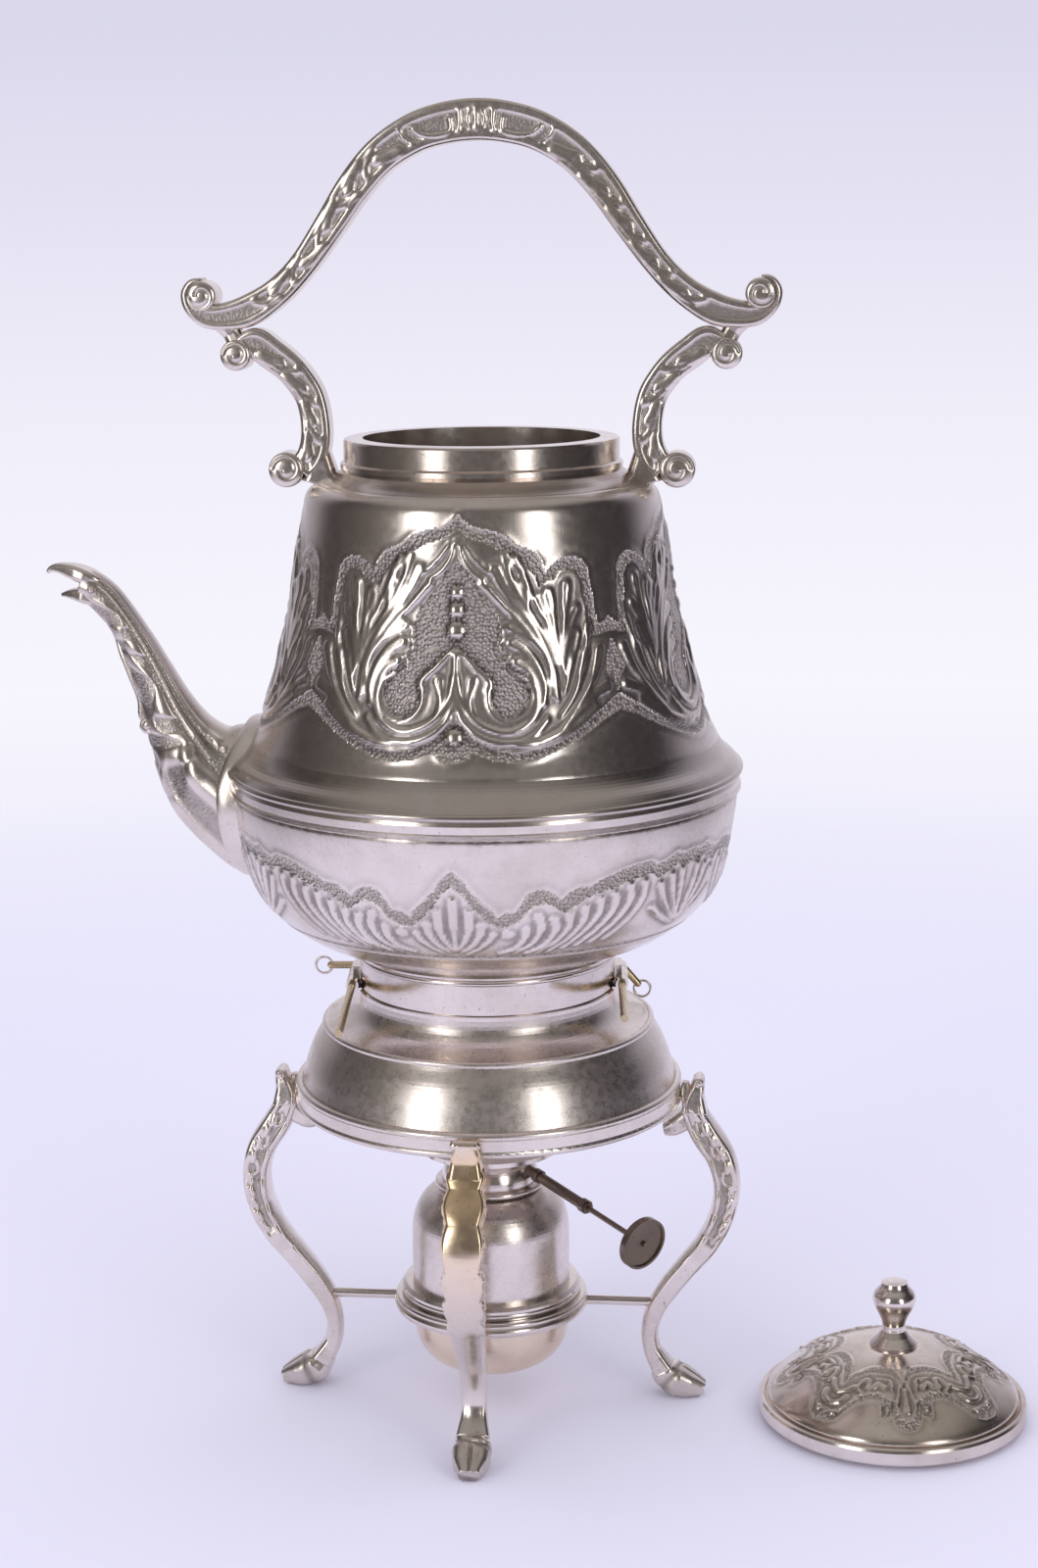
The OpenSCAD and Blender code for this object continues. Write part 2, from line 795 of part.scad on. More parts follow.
base_line = smooth([for (p = [[0, 0], [0.3292, 0.1], [0.5761, 1.2], [0.7984, 3.9], [0.93, 7.7],
    [0.9877, 12.1], [1, 17.5]]) [base_r * p[0], base_z + p[1]]], 4);

module burner_base_bowl() {
    color(copper_c)
        rotate_extrude()
            difference() {
                polygon(concat(base_line, [[base_r, flange_z], [0, flange_z]]));
                polygon([for (p = concat(base_line, [[base_r, flange_z + 1], [0, flange_z + 1]]))
                    [p[0] * (1 - base_wall / base_r), p[1] + base_wall * (1 - p[0] / base_r)]]);
            }
}

module burner_flange_ring() {
    color(plate_c)
        rotate_extrude()
            union() {
                polygon([[res_r - 1.2, flange_z], [res_r + 3.3, flange_z], [res_r + 3.3, res_z - 1],
                    [res_r + 2.3, res_z], [res_r - 1.2, res_z]]);
                translate([res_r + 2.4, flange_z + 1.2])
                    circle(r = 1.2);
            }
}

module burner_reservoir() {
    color(plate_c)
        rotate_extrude()
            difference() {
                polygon(concat([[0, res_z], [res_r, res_z]],
                    smooth([[res_r, res_z + 2], [res_r, cap_z - 15.2], [res_r - 0.7, cap_z - 9.6],
                    [res_r - 2.9, cap_z - 4.8], [res_r - 6.3, cap_z - 1.6], [14, cap_z]], 4),
                    [[0, cap_z]]));
                polygon(concat([[0, res_z - 1], [res_r - 0.8, res_z - 1]],
                    smooth([[res_r - 0.8, res_z + 2], [res_r - 0.8, cap_z - 15.2],
                    [res_r - 1.5, cap_z - 9.9], [res_r - 3.5, cap_z - 5.4],
                    [res_r - 6.6, cap_z - 2.4], [14, cap_z - 0.9]], 4), [[0, cap_z - 0.9]]));
                square([tube_out, 100]);
            }
}

module burner_neck_cap() {
    color(plate_c)
        difference() {
            rotate_extrude()
                difference() {
                    union() {
                        polygon(concat([[0, cap_z], [16.6, cap_z], [16.6, cap_z + 1.8]],
                            smooth([[15.2, cap_z + 2.2], [14.8, cap_z + 5], [13.4, cap_z + 8.2],
                            [10.6, cap_z + 10.8], [9.6, plate_z]], 4), [[0, plate_z]]));
                        translate([16.3, cap_z + 1])
                            circle(r = 1);
                    }
                    polygon(concat([[0, cap_z - 1], [13.8, cap_z - 1]],
                        smooth([[14.2, cap_z + 1], [13.9, cap_z + 4.8], [12.6, cap_z + 7.6],
                        [9.9, cap_z + 10.1], [8.7, plate_z + 1]], 4), [[0, plate_z + 1]]));
                }
            on_spindle()
                cylinder(r = sleeve_r, h = 40);
        }
}

module burner_top_plate() {
    color(plate_c)
        difference() {
            translate([0, 0, plate_z])
                cylinder(r = plate_r, h = 1.4);
            translate([0, 0, plate_z - 1])
                cylinder(r = tube_out, h = 4);
        }
}

module wick_tube() {
    color(plate_c)
        difference() {
            translate([0, 0, cap_z - 11.2])
                cylinder(r = tube_out, h = plate_z - cap_z + 13.2);
            translate([0, 0, cap_z - 12.2])
                cylinder(r = tube_in, h = 40);
            on_spindle()
                cylinder(r = wheel_r + move_gap, h = 4, center = true);
        }
}

module winder_sleeve() {
    color(dark_c)
        on_spindle()
            difference() {
                union() {
                    translate([0, 0, sleeve_s])
                        cylinder(r = sleeve_r, h = sleeve_e - sleeve_s);
                    for (s = [16.6, sleeve_e - 3])
                        translate([0, 0, s])
                            cylinder(r = sleeve_r + 0.5, h = 2.2);
                }
                cylinder(r = spin_r + run_gap, h = 60);
            }
}

module winder_spindle() {
    color(dark_c)
        on_spindle()
            translate([0, 0, -2])
                cylinder(r = spin_r, h = knob_s + 4.6);
}

module wick_wheel() {
    color(brass_c)
        on_spindle()
            difference() {
                cylinder(r = wheel_r, h = 2.4, center = true);
                cylinder(r = spin_r, h = 4, center = true);
            }
}

module winder_knob() {
    color(dark_c)
        on_spindle()
            difference() {
                union() {
                    translate([0, 0, knob_s - 3])
                        cylinder(r = 1.7, h = 3.2);
                    translate([0, 0, knob_s])
                        cylinder(r = knob_r, h = 2.3);
                }
                translate([0, 0, knob_s + 1.7])
                    cylinder(r = knob_r - 0.8, h = 2);
                translate([0, 0, knob_s - 4])
                    cylinder(r = spin_r, h = 10);
            }
}

module wick() {
    color(wick_c)
        translate([0, 0, wick_z])
            cylinder(r = wick_r, h = plate_z + 4 - wick_z);
}

// Lid

rim_h = 5.3;
lip_r = mouth_r - move_gap;
lid_seat = lip_h + 4.5;
lid_top = lid_seat + 17.1;
dome_edge = lid_r - 2.4;
button_r = 7.4;
// Outer profile of the lid: how far out between the knob and the edge, and height over its seat
lid_line = smooth([for (p = [[1, 0], [0.9841, 1.9], [0.927, 3.9], [0.8127, 6.7], [0.654, 9.9],
    [0.4635, 12.9], [0.273, 15.2], [0.1143, 16.5], [0, 17.1]])
    [mix(button_r, dome_edge, p[0]), lid_seat + p[1]]], 4);
screw_r = 1.5;

module on_lid() {
    translate([lid_x, lid_y, 0])
        children();
}

module lid_dome() {
    color(plate_c)
        on_lid()
            difference() {
                rotate_extrude()
                    union() {
                        polygon(sheet_outline(lid_line, 1));
                        translate([0, lid_top - 1])
                            square([button_r + 0.2, 1]);
                    }
                cylinder(r = screw_r + 0.1, h = lid_top + 10);
                cylinder(r = lid_r, h = lid_seat);
            }
}

module lid_rim_band() {
    color(plate_c)
        on_lid()
            rotate_extrude()
                polygon([[lip_r, lip_h], [lid_r - 0.6, lip_h], [lid_r, lip_h + 0.7],
                    [lid_r, lid_seat - 0.3], [lid_r - 0.4, lid_seat + 0.5],
                    [lid_r - 1.2, lip_h + rim_h], [lid_r - 1.9, lid_seat + 0.5],
                    [lid_r - 2.2, lid_seat], [lip_r, lid_seat]]);
}

module lid_locating_lip() {
    color(plate_c)
        on_lid()
            rotate_extrude()
                polygon([[lip_r - 1, 0], [lip_r - 0.3, 0], [lip_r, 0.4], [lip_r, lid_seat],
                    [lip_r - 1, lid_seat]]);
}

// Profile of the knob: radius, and height over the top of the lid
knob_line = smooth([for (p = [[3.7, 4.7], [3.5, 6.5], [4.2, 8.9], [6, 12.5], [6.7, 15.1],
    [6.2, 16.9], [4.9, 18.5]]) [p[0], lid_top + p[1]]], 4);

module lid_knob() {
    color(plate_c)
        on_lid()
            rotate_extrude()
                polygon(concat([[0, lid_top - 5], [screw_r, lid_top - 5], [screw_r, lid_top],
                    [button_r - 0.2, lid_top], [button_r, lid_top + 0.7],
                    [button_r - 0.8, lid_top + 1.5], [5, lid_top + 3]], knob_line,
                    [[4.4, lid_top + 19.3], [4, lid_top + 20.3], [2, lid_top + 20.8],
                    [0, lid_top + 20.9]]));
}

module lid_knob_nut() {
    color(brass_c)
        on_lid()
            translate([0, 0, lid_top - 3.6])
                difference() {
                    cylinder(r = 3.2, h = 2.6, $fn = 6);
                    translate([0, 0, -1])
                        cylinder(r = screw_r, h = 5);
                }
}

stand_dome();
stand_rim_band();
neck_seat_ring();
leg_right();
leg_back();
leg_left();
leg_front();
burner_holder_ring();
stretcher_right();
stretcher_back();
stretcher_left();
stretcher_front();
hinge_lugs_left();
pin_lugs_right();
kettle_upper_shell();
kettle_lower_bowl();
girdle_band();
mouth_collar();
kettle_foot_ring();
spout();
spout_flange();
handle_arch();
handle_bracket_left();
handle_bracket_right();
hinge_knuckle_left();
pin_saddle_right();
retaining_pin_left();
retaining_pin_right();
pin_ring_left();
pin_ring_right();
burner_reservoir();
burner_base_bowl();
burner_flange_ring();
burner_neck_cap();
burner_top_plate();
wick_tube();
winder_sleeve();
winder_spindle();
winder_knob();
wick_wheel();
wick();
lid_dome();
lid_rim_band();
lid_locating_lip();
lid_knob();
lid_knob_nut();
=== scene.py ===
"""Looks of the spirit kettle on stand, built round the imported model."""

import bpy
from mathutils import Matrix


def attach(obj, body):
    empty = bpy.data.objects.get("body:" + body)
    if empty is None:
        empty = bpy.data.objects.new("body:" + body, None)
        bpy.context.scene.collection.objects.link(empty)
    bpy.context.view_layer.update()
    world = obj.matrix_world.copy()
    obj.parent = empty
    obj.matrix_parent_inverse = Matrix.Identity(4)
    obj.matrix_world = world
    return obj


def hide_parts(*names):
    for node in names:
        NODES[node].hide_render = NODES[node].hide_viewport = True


bl_info = {
    "name": "Spirit kettle on stand",
    "version": (1, 0, 0),
    "blender": (4, 5, 0),
    "location": "View3D > Sidebar > Kettle",
    "description": "Dresses the packed spirit kettle, its stand, its burner and its lid",
    "category": "Add Mesh",
}

import math

import bpy
import numpy as np
from mathutils import Matrix, Vector

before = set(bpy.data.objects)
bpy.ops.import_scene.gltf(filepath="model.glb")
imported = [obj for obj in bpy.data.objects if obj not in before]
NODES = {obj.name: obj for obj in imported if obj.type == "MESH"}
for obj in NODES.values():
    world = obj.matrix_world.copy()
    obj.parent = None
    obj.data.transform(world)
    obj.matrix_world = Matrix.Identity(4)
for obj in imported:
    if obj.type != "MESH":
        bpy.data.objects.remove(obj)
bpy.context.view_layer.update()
MM = 0.001
TURN = 2 * np.pi

# Chased skins, in mm: how far a skin lies over the metal, how far its edges and its inner face
# lie under it, and the strip along its edges in which it goes down
SKIN_OVER, SKIN_EDGE, SKIN_UNDER, SKIN_STRIP = 0.14, 0.12, 0.35, 1.5
# Least rise of a lobe at which the ground between the lobes is no longer seen, in mm
COVERED = 0.12

# ---- curves and grids


def smooth_line(points, steps=4):
    """Catmull-Rom curve: between two points it is the cubic whose slope at each of them is half
    the step between that point's neighbours."""
    p = np.asarray(points, float)
    q = np.vstack([p[:1], p, p[-1:]])
    t = (np.arange(steps) / steps)[None, :, None]
    a, b, c, d = q[:-3, None], q[1:-2, None], q[2:-1, None], q[3:, None]
    s = 0.5 * (2 * b + (c - a) * t + (2 * a - 5 * b + 4 * c - d) * t**2
               + (3 * b - a - 3 * c + d) * t**3)
    return np.vstack([s.reshape(-1, p.shape[1]), p[-1:]])


def spaced(line, count):
    """count points at equal steps along a line, and the length reached at each."""
    step = np.linalg.norm(np.diff(line[:, :2], axis=0), axis=1)
    run = np.r_[0, np.cumsum(step)]
    at = np.linspace(0, run[-1], count)
    return np.stack([np.interp(at, run, line[:, k]) for k in range(line.shape[1])], 1), at


def right_of(line):
    """Unit normal at each point: the direction of the line turned a quarter to the right."""
    d = np.gradient(line[:, :2], axis=0)
    d /= np.linalg.norm(d, axis=1)[:, None] + 1e-12
    return np.stack([d[:, 1], -d[:, 0]], 1)


def quads(rows, cols, ring=False):
    """Faces of a grid whose columns close on themselves, and whose rows do if ring is set."""
    i, j = np.meshgrid(np.arange(rows if ring else rows - 1), np.arange(cols), indexing="ij")
    k, m = (i + 1) % rows, (j + 1) % cols
    return np.stack([i * cols + j, i * cols + m, k * cols + m, k * cols + j], -1).reshape(-1, 4)


def step_up(x, low, high):
    """0 below low, 1 above high, and 3t2 - 2t3 between them."""
    t = np.clip((x - low) / (high - low), 0, 1)
    return t * t * (3 - 2 * t)


def put(name, xyz, faces, body, slot, finish, hides=(), marks=None, caps=()):
    """One piece from points in mm and quads, riding on a body, made of the finish, with values for
    each point as marks, and in the place of the nodes that it hides. The slot is not used. caps
    are rings of points closed by one face each. The faces are turned round if the volume they
    enclose, the sum of the pyramids from the first point to every face, comes out negative."""
    xyz = np.asarray(xyz, float).reshape(-1, 3)
    a, b, c, d = (xyz[faces[:, k]] for k in range(4))
    volume = (np.cross(a - xyz[0], b - xyz[0]) * (c - xyz[0])).sum()
    volume += (np.cross(a - xyz[0], c - xyz[0]) * (d - xyz[0])).sum()
    turn = -1 if volume < 0 else 1
    polys = faces[:, ::turn].tolist() + [list(ring)[::turn] for ring in caps]
    mesh = bpy.data.meshes.new(name)
    mesh.from_pydata((xyz * MM).tolist(), [], polys)
    mesh.shade_smooth()
    for key, values in (marks or {}).items():
        layer = mesh.attributes.new(key, "FLOAT", "POINT")
        layer.data.foreach_set("value", np.asarray(values, np.float32).ravel())
    mesh.materials.append(finish)
    piece = bpy.data.objects.new(name, mesh)
    bpy.context.scene.collection.objects.link(piece)
    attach(piece, body)
    if hides:
        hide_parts(*hides)


class Sheet:
    """Height field over one repeat of an ornament: a is the angle in degrees, s the length up
    the profile and k the millimetres in one degree, each as a grid of rows and columns."""

    def __init__(self, line, rows, span, cols):
        self.line, self.run = spaced(line, rows)
        self.span = span
        angle = (np.arange(cols) + 0.5) / cols * span - span / 2
        self.a, self.s = np.meshgrid(angle, self.run)
        self.k = np.radians(self.line[:, :1]) + 0 * self.a
        self.base = np.zeros(self.a.shape)
        self.rise = np.zeros(self.a.shape)
        self.cut = np.zeros(self.a.shape)
        up = self.line[:, 1]
        self.order = np.argsort(up)
        self.up = up[self.order]

    def place(self, points):
        """Points of angle and height as angle and length up the profile."""
        p = np.asarray(points, float)
        return np.stack([p[:, 0], np.interp(p[:, 1], self.up, self.run[self.order])], 1)

    def near(self, points):
        """Distance of every grid point from a line of points, and the share of the line at which
        its nearest point lies. Angles are taken the short way round."""
        p = self.place(points)
        if len(p) == 1:
            p = np.vstack([p, p + [1e-4, 0]])
        best = np.full(self.a.shape, 1e9)
        share = np.zeros(self.a.shape)
        mid = p[:, 0].mean()
        a = mid + (self.a - mid + self.span / 2) % self.span - self.span / 2
        for n in range(len(p) - 1):
            ax, ay = (p[n, 0] - a) * self.k, p[n, 1] - self.s
            dx, dy = (p[n + 1, 0] - p[n, 0]) * self.k, p[n + 1, 1] - p[n, 1]
            t = np.clip(-(ax * dx + ay * dy) / (dx * dx + dy * dy + 1e-12), 0, 1)
            d = np.hypot(ax + t * dx, ay + t * dy)
            share = np.where(d < best, (n + t) / (len(p) - 1), share)
            best = np.minimum(d, best)
        return best, share

    def inside(self, points):
        """True where a grid point lies inside a polygon: a ray from it crosses it an odd number
        of times."""
        p = self.place(points)
        hit = np.zeros(self.a.shape, bool)
        for (x0, y0), (x1, y1) in zip(p, np.roll(p, -1, 0)):
            spans = (y0 > self.s) != (y1 > self.s)
            hit ^= spans & (self.a < (x1 - x0) * (self.s - y0) / (y1 - y0 + 1e-12) + x0)
        return hit

    def lobe(self, points, wide, narrow, high, groove=0.22, dimple=0.6):
        """Rounded ridge: its half width runs from wide to narrow along the line, its height is
        high times the root of one less the squared share of that width. A fine groove runs round
        it, and the broad end is hollowed by a bell of dimple times that height."""
        d, t = self.near(smooth_line(points, 5) if len(points) > 2 else points)
        w = wide + (narrow - wide) * t
        ridge = high * np.sqrt(np.clip(1 - (d / w)**2, 0, 1))
        hollow = dimple * high * np.exp(-(d / (0.45 * w))**2) * step_up(0.5 - t, 0, 0.25)
        hollow = hollow * step_up(w, 1.0, 1.3)
        self.rise = np.maximum(self.rise, ridge - hollow)
        round_it = np.exp(-((d - w - 0.15) / 0.42)**2) * (d > w * 0.8)
        self.cut = np.maximum(self.cut, groove * round_it)

    def lobes(self, table, wide=1.0, narrow=1.0, high=1.0, groove=0.22):
        """Every lobe of a table, on both sides of the middle, its measures scaled by the shares
        given."""
        for w, n, h, points in table:
            for side in (points, flip(points)):
                self.lobe(side, wide * w, narrow * n, high * h, groove)

    def wire(self, points, wide, high):
        """Fine raised line of bell shape."""
        d, _ = self.near(points)
        self.rise = np.maximum(self.rise, high * np.exp(-(d / wide)**2))

    def ground(self, lines, high, fade, closing=()):
        """Raises the ground inside an outline, made of one line and its closing points or of two
        lines, by a smooth step of the distance from the lines over the length fade. Returns
        where that is."""
        ends = lines[1][::-1] if len(lines) > 1 else list(closing)
        mask = self.inside(lines[0] + ends)
        far = np.minimum.reduce([self.near(line)[0] for line in lines])
        self.base = self.base + np.where(mask, high * step_up(far, 0, fade), 0)
        return mask

    def finished(self, grained):
        """The sheet, its height and its two marks. The height is the ground, the grooves and the
        raised work together, smoothed once. A point is deep by how far it lies below the mean of
        its neighbours, or in a groove, and the ground is grained where no lobe covers it."""
        h = self.base + self.rise - self.cut * (self.rise < 0.05)
        for axis in (0, 1):
            h = (2 * h + np.roll(h, 1, axis) + np.roll(h, -1, axis)) / 4
        blur = h.copy()
        for _ in range(3):
            for axis in (0, 1):
                side = np.roll(blur, 2, axis) + np.roll(blur, -2, axis)
                blur = (2 * blur + side) / 4
        deep = np.clip((blur - h) / 0.2, 0, 1)
        deep = np.maximum(deep, 2.2 * self.cut * (self.rise < 0.1))
        return self, h, {"grain": grained * np.clip(1 - self.rise / COVERED, 0, 1), "deep": deep}


def flip(points):
    """The same points mirrored in angle."""
    return [(-a, z) for a, z in points]


def both(points):
    """A border line that runs from the middle outwards, joined to its mirror image, from the
    left end to the right one."""
    return flip(points)[::-1] + list(points)


def closed_skin(name, chased, share, repeats, turn, kit, centre=(0, 0)):
    """Chased skin over a turned surface. A point lies at the profile's radius and height, moved
    out along the profile's normal by a share of the relief, and at the sheet's angle turned by
    turn. The edges and the inner face lie under the metal below."""
    sheet, height, marks = chased
    rows, cols = sheet.a.shape
    edge = step_up(sheet.run, 0, SKIN_STRIP) * step_up(sheet.run[-1] - sheet.run, 0, SKIN_STRIP)
    edge = edge[:, None]
    out = np.tile(height * share, (1, repeats)) * edge + SKIN_OVER * edge - SKIN_EDGE * (1 - edge)
    n = right_of(sheet.line)
    all_cols = cols * repeats
    angle = np.radians((np.arange(all_cols) + 0.5) / cols * sheet.span - sheet.span / 2 + turn)
    back = np.linspace(rows - 1, 0, 9).astype(int)
    rz = np.concatenate([sheet.line[:, None, :2] + n[:, None] * out[..., None],
                         np.repeat(sheet.line[back][:, None, :2] - n[back][:, None] * SKIN_UNDER,
                                   all_cols, 1)])
    r, z = rz[..., 0], rz[..., 1]
    xyz = np.stack([centre[0] + r * np.sin(angle), centre[1] - r * np.cos(angle), z], -1)
    full = {k: np.vstack([np.tile(v, (1, repeats)), np.zeros((len(back), all_cols))])
            for k, v in marks.items()}
    put(name, xyz, quads(len(rz), all_cols, True), *kit, marks=full)


# ---- profiles in mm, as in the solid

UPPER = smooth_line([(78.2, 203.4), (75.8, 206.4), (72.8, 209), (70.2, 213), (66.6, 220.4),
                     (63.1, 230.8), (59.7, 245.6), (57, 257.6), (55.3, 269.4), (53.4, 281),
                     (52.2, 286.6), (49, 289.3), (44.4, 291.6), (41.6, 293.4)])
LOWER = smooth_line([(42, 148.2), (48, 150.8), (55.2, 153.9), (62, 158.6), (66.8, 163.6),
                     (70.2, 169.2), (73.3, 177.6), (75.2, 186.4), (76.1, 192.8), (76.5, 197.4)])
LID = smooth_line([(38.9, 6), (38.4, 7.9), (36.6, 9.9), (33, 12.7), (28, 15.9), (22, 18.9),
                   (16, 21.2), (11, 22.5), (7.4, 23.1)])
# Middle of the lid where it lies, and how far the ornament is turned from the front, in degrees
LID_AT, LID_YAW, KETTLE_YAW = (126.2, -9.2), 6.0, -1.3

# Chased panel of the upper body: angle from its middle in degrees, and height in mm
PANEL_OUT = [(0.1, 286), (1.6, 284), (4, 282.2), (9.9, 281), (14.2, 279.6), (18, 276.6),
             (20, 276), (22.9, 274.8), (25.2, 271.7), (25.9, 269.2), (27.2, 270.5), (29.5, 272),
             (32.1, 273), (35.4, 272.8), (38.3, 271.5), (40, 268.9), (40.3, 264.7), (41, 260.5),
             (41.2, 255.8), (41.6, 253.4), (43.4, 254.4), (45, 255.7)]
PANEL_IN = [(0.1, 280.8), (3.4, 278.4), (9.8, 276.5), (13.5, 274), (16.9, 271.5), (20.3, 270),
            (22.5, 267.2), (23.5, 263.9), (24.8, 264.9), (26.9, 266.4), (29.1, 266.1),
            (29.8, 268.2), (32.1, 269.2), (34.9, 268.4), (36.7, 265.8), (36.9, 262.3),
            (37.9, 258.1), (37.8, 252.6), (36.9, 249.5), (41, 250.2), (45, 250.6)]
FOOT_OUT = [(0.1, 217), (1.8, 217.1), (3.9, 218.1), (4.8, 219.6), (9.9, 217.5), (15.6, 216.8),
            (20.4, 217.6), (25.5, 219.6), (31, 222), (35.5, 224.4), (40.4, 227.1), (45, 228.8)]
FOOT_IN = [(0.1, 228.7), (2.8, 226.9), (4.3, 224.3), (6.5, 223), (11.2, 220.8), (15.9, 220.1),
           (20.7, 220.7), (25.8, 222.1), (30, 224.2), (34.5, 227.2), (38.6, 230.2), (45, 234.1)]
HEART = [(0.1, 271.9), (3, 269.4), (6.4, 264.6), (10.4, 259.6), (12.4, 254), (13, 248),
         (15, 243.4), (19, 240.6), (19.4, 235), (17, 230), (12.6, 229), (9.8, 233), (9.6, 237.6),
         (7.6, 241.4), (4.6, 244), (2.4, 247.2), (0.2, 249.1)]
DIAMOND = [(45, 249.1), (47, 244.7), (48.6, 240.6), (46, 237.6), (45, 233.8), (44, 237.6),
           (41.4, 240.6), (43, 244.7)]
# Lobes of a half panel: half width at the tip and at the root, height, points from the tip
PANEL_LOBES = [
    (1.9, 0.4, 0.8, [(19, 266.3), (19.7, 263.5), (20.7, 259.9)]),
    (2.0, 0.6, 0.8, [(26.1, 262.7), (27, 258.3), (27.6, 252), (28, 243.9)]),
    (1.8, 0.6, 0.8, [(31.8, 264.8), (31, 258.6), (29.5, 250.6), (28.3, 241.2)]),
    (1.7, 0.6, 0.8, [(34.4, 258.1), (31.9, 253.1), (30, 246.5), (28.8, 239.8)]),
    (1.9, 0.6, 0.8, [(33.8, 251.3), (32, 245.5), (30.2, 239.7), (28.6, 235)]),
    (1.9, 0.7, 0.8, [(35.9, 245.7), (34, 239.9), (31, 233.7), (26.8, 228.4)]),
    (1.8, 0.7, 0.8, [(40.6, 246.4), (37.9, 239.5), (33.6, 233.4), (27.4, 226.5)]),
    (1.8, 0.7, 0.8, [(41.6, 235.8), (37.6, 234.1), (32.8, 230.3), (26.7, 225.2), (21.4, 223)]),
    (1.7, 0.9, 0.8, [(11.1, 270.3), (13.2, 265.6), (17.3, 259.3), (21.7, 253.2), (24.9, 246.8),
                     (26.6, 240), (26.5, 233.2)]),
    (1.2, 0.7, 0.7, [(14.2, 274), (15, 268.8), (18, 262.5), (22.2, 255.8), (25.7, 249.5),
                     (27.6, 242.6)]),
    (1.1, 0.7, 0.7, [(8.7, 264.9), (13.6, 259.4), (19, 253.8), (23.2, 246.9), (25.2, 240.1),
                     (25.3, 234.1)]),
    (1.8, 0.8, 0.8, [(15.1, 254.2), (18.1, 252.5), (22, 249.1), (24.7, 243.9), (25.2, 237.4)]),
    (1.8, 0.9, 0.8, [(15.5, 249.7), (18.9, 247.4), (22.1, 242.9), (23.6, 237.5), (23, 232.1)]),
    (1.7, 1.2, 0.9, [(16.6, 244.3), (19.7, 242.5), (21.8, 238.4), (22, 233.5), (19.3, 228.1),
                     (14.2, 225.2), (8.9, 226.1), (4.5, 229.3), (1.5, 234.3), (0.4, 240.7)]),
    (0.5, 0.8, 0.6, [(17, 241), (19.5, 238.8), (20.5, 234.7), (19, 230.5), (14.8, 227.8),
                     (10.7, 229.2), (8.5, 233.2), (8.6, 236.4)]),
    (1.2, 1.1, 0.8, [(23.4, 228.1), (19.3, 223.9), (13.1, 222.3), (7.2, 223.8), (2.6, 227.7),
                     (0.6, 232.2), (0.4, 236.7)]),
    (1.2, 0.7, 0.7, [(8.3, 236.7), (9.1, 238.8), (7.6, 240.7), (5.5, 242.6), (3.4, 245),
                     (0.8, 247.7)]),
    (0.5, 0.7, 0.6, [(0.6, 277.6), (1.6, 273.6), (4, 269.8), (7.9, 267.1)]),
    (0.6, 0.5, 0.6, [(2.2, 276.8), (5.7, 272.5), (9.6, 268.9)]),
    (1.0, 0.5, 0.7, [(0.3, 246.6), (0.3, 240.7), (0.3, 234.8)]),
    (1.1, 1.1, 0.6, [(7.3, 266)]),
    (1.5, 0.6, 0.7, [(16.6, 272.4), (19, 268.4), (21.6, 262), (24.4, 255.4)]),
    (1.4, 0.7, 0.7, [(23.4, 262), (24.6, 257.4), (26.2, 251.4), (27.4, 245)]),
    (1.3, 0.6, 0.7, [(30.6, 256), (30, 248), (28.8, 240)]),
    (1.3, 0.7, 0.7, [(37.6, 253.4), (36.6, 248.4), (34, 242)]),
    (1.6, 0.9, 0.8, [(37, 230.8), (31, 227), (25, 223.6), (18, 221.8), (10, 223)]),
    (1.5, 0.8, 0.7, [(4.6, 239.6), (3.6, 234), (5, 229)]),
    (0.6, 0.4, 0.5, [(13.5, 255.1), (12.4, 253.8), (12.6, 252.1)]),
    (0.6, 0.4, 0.5, [(12.8, 250.8), (11.7, 249.5), (12.2, 247.9)]),
    (0.6, 0.4, 0.5, [(14.3, 245.9), (13.2, 244.6), (13.4, 242.8)]),
]
# Bosses down the middle of a panel: height of the centre and radius
PANEL_BOSSES = [(263.6, 1.9), (258.9, 2.2), (253.3, 2.5), (224.2, 2.4)]


def chase_upper():
    """Relief of the upper body, four panels round."""
    sheet = Sheet(UPPER[11:46], rows=128, span=90, cols=180)
    outer, inner = [both(PANEL_OUT), both(FOOT_OUT)], [both(PANEL_IN), both(FOOT_IN)]
    within = sheet.ground(outer, high=0.14, fade=0.7)
    field = sheet.ground(inner, high=0.1, fade=0.8)
    for line in outer + inner:
        sheet.wire(line, wide=0.46, high=0.26)
    sheet.lobes(PANEL_LOBES, wide=1.05, narrow=0.9, high=1.15, groove=0.24)
    for z, r in PANEL_BOSSES:
        sheet.lobe([(0, z)], r, r, high=0.8, groove=0.3, dimple=0.0)
    grained = (within & ~field) | (field & sheet.inside(both(HEART)[:-1]))
    for side in (DIAMOND, flip(DIAMOND)):
        grained |= sheet.inside(side)
    return sheet.finished(grained)


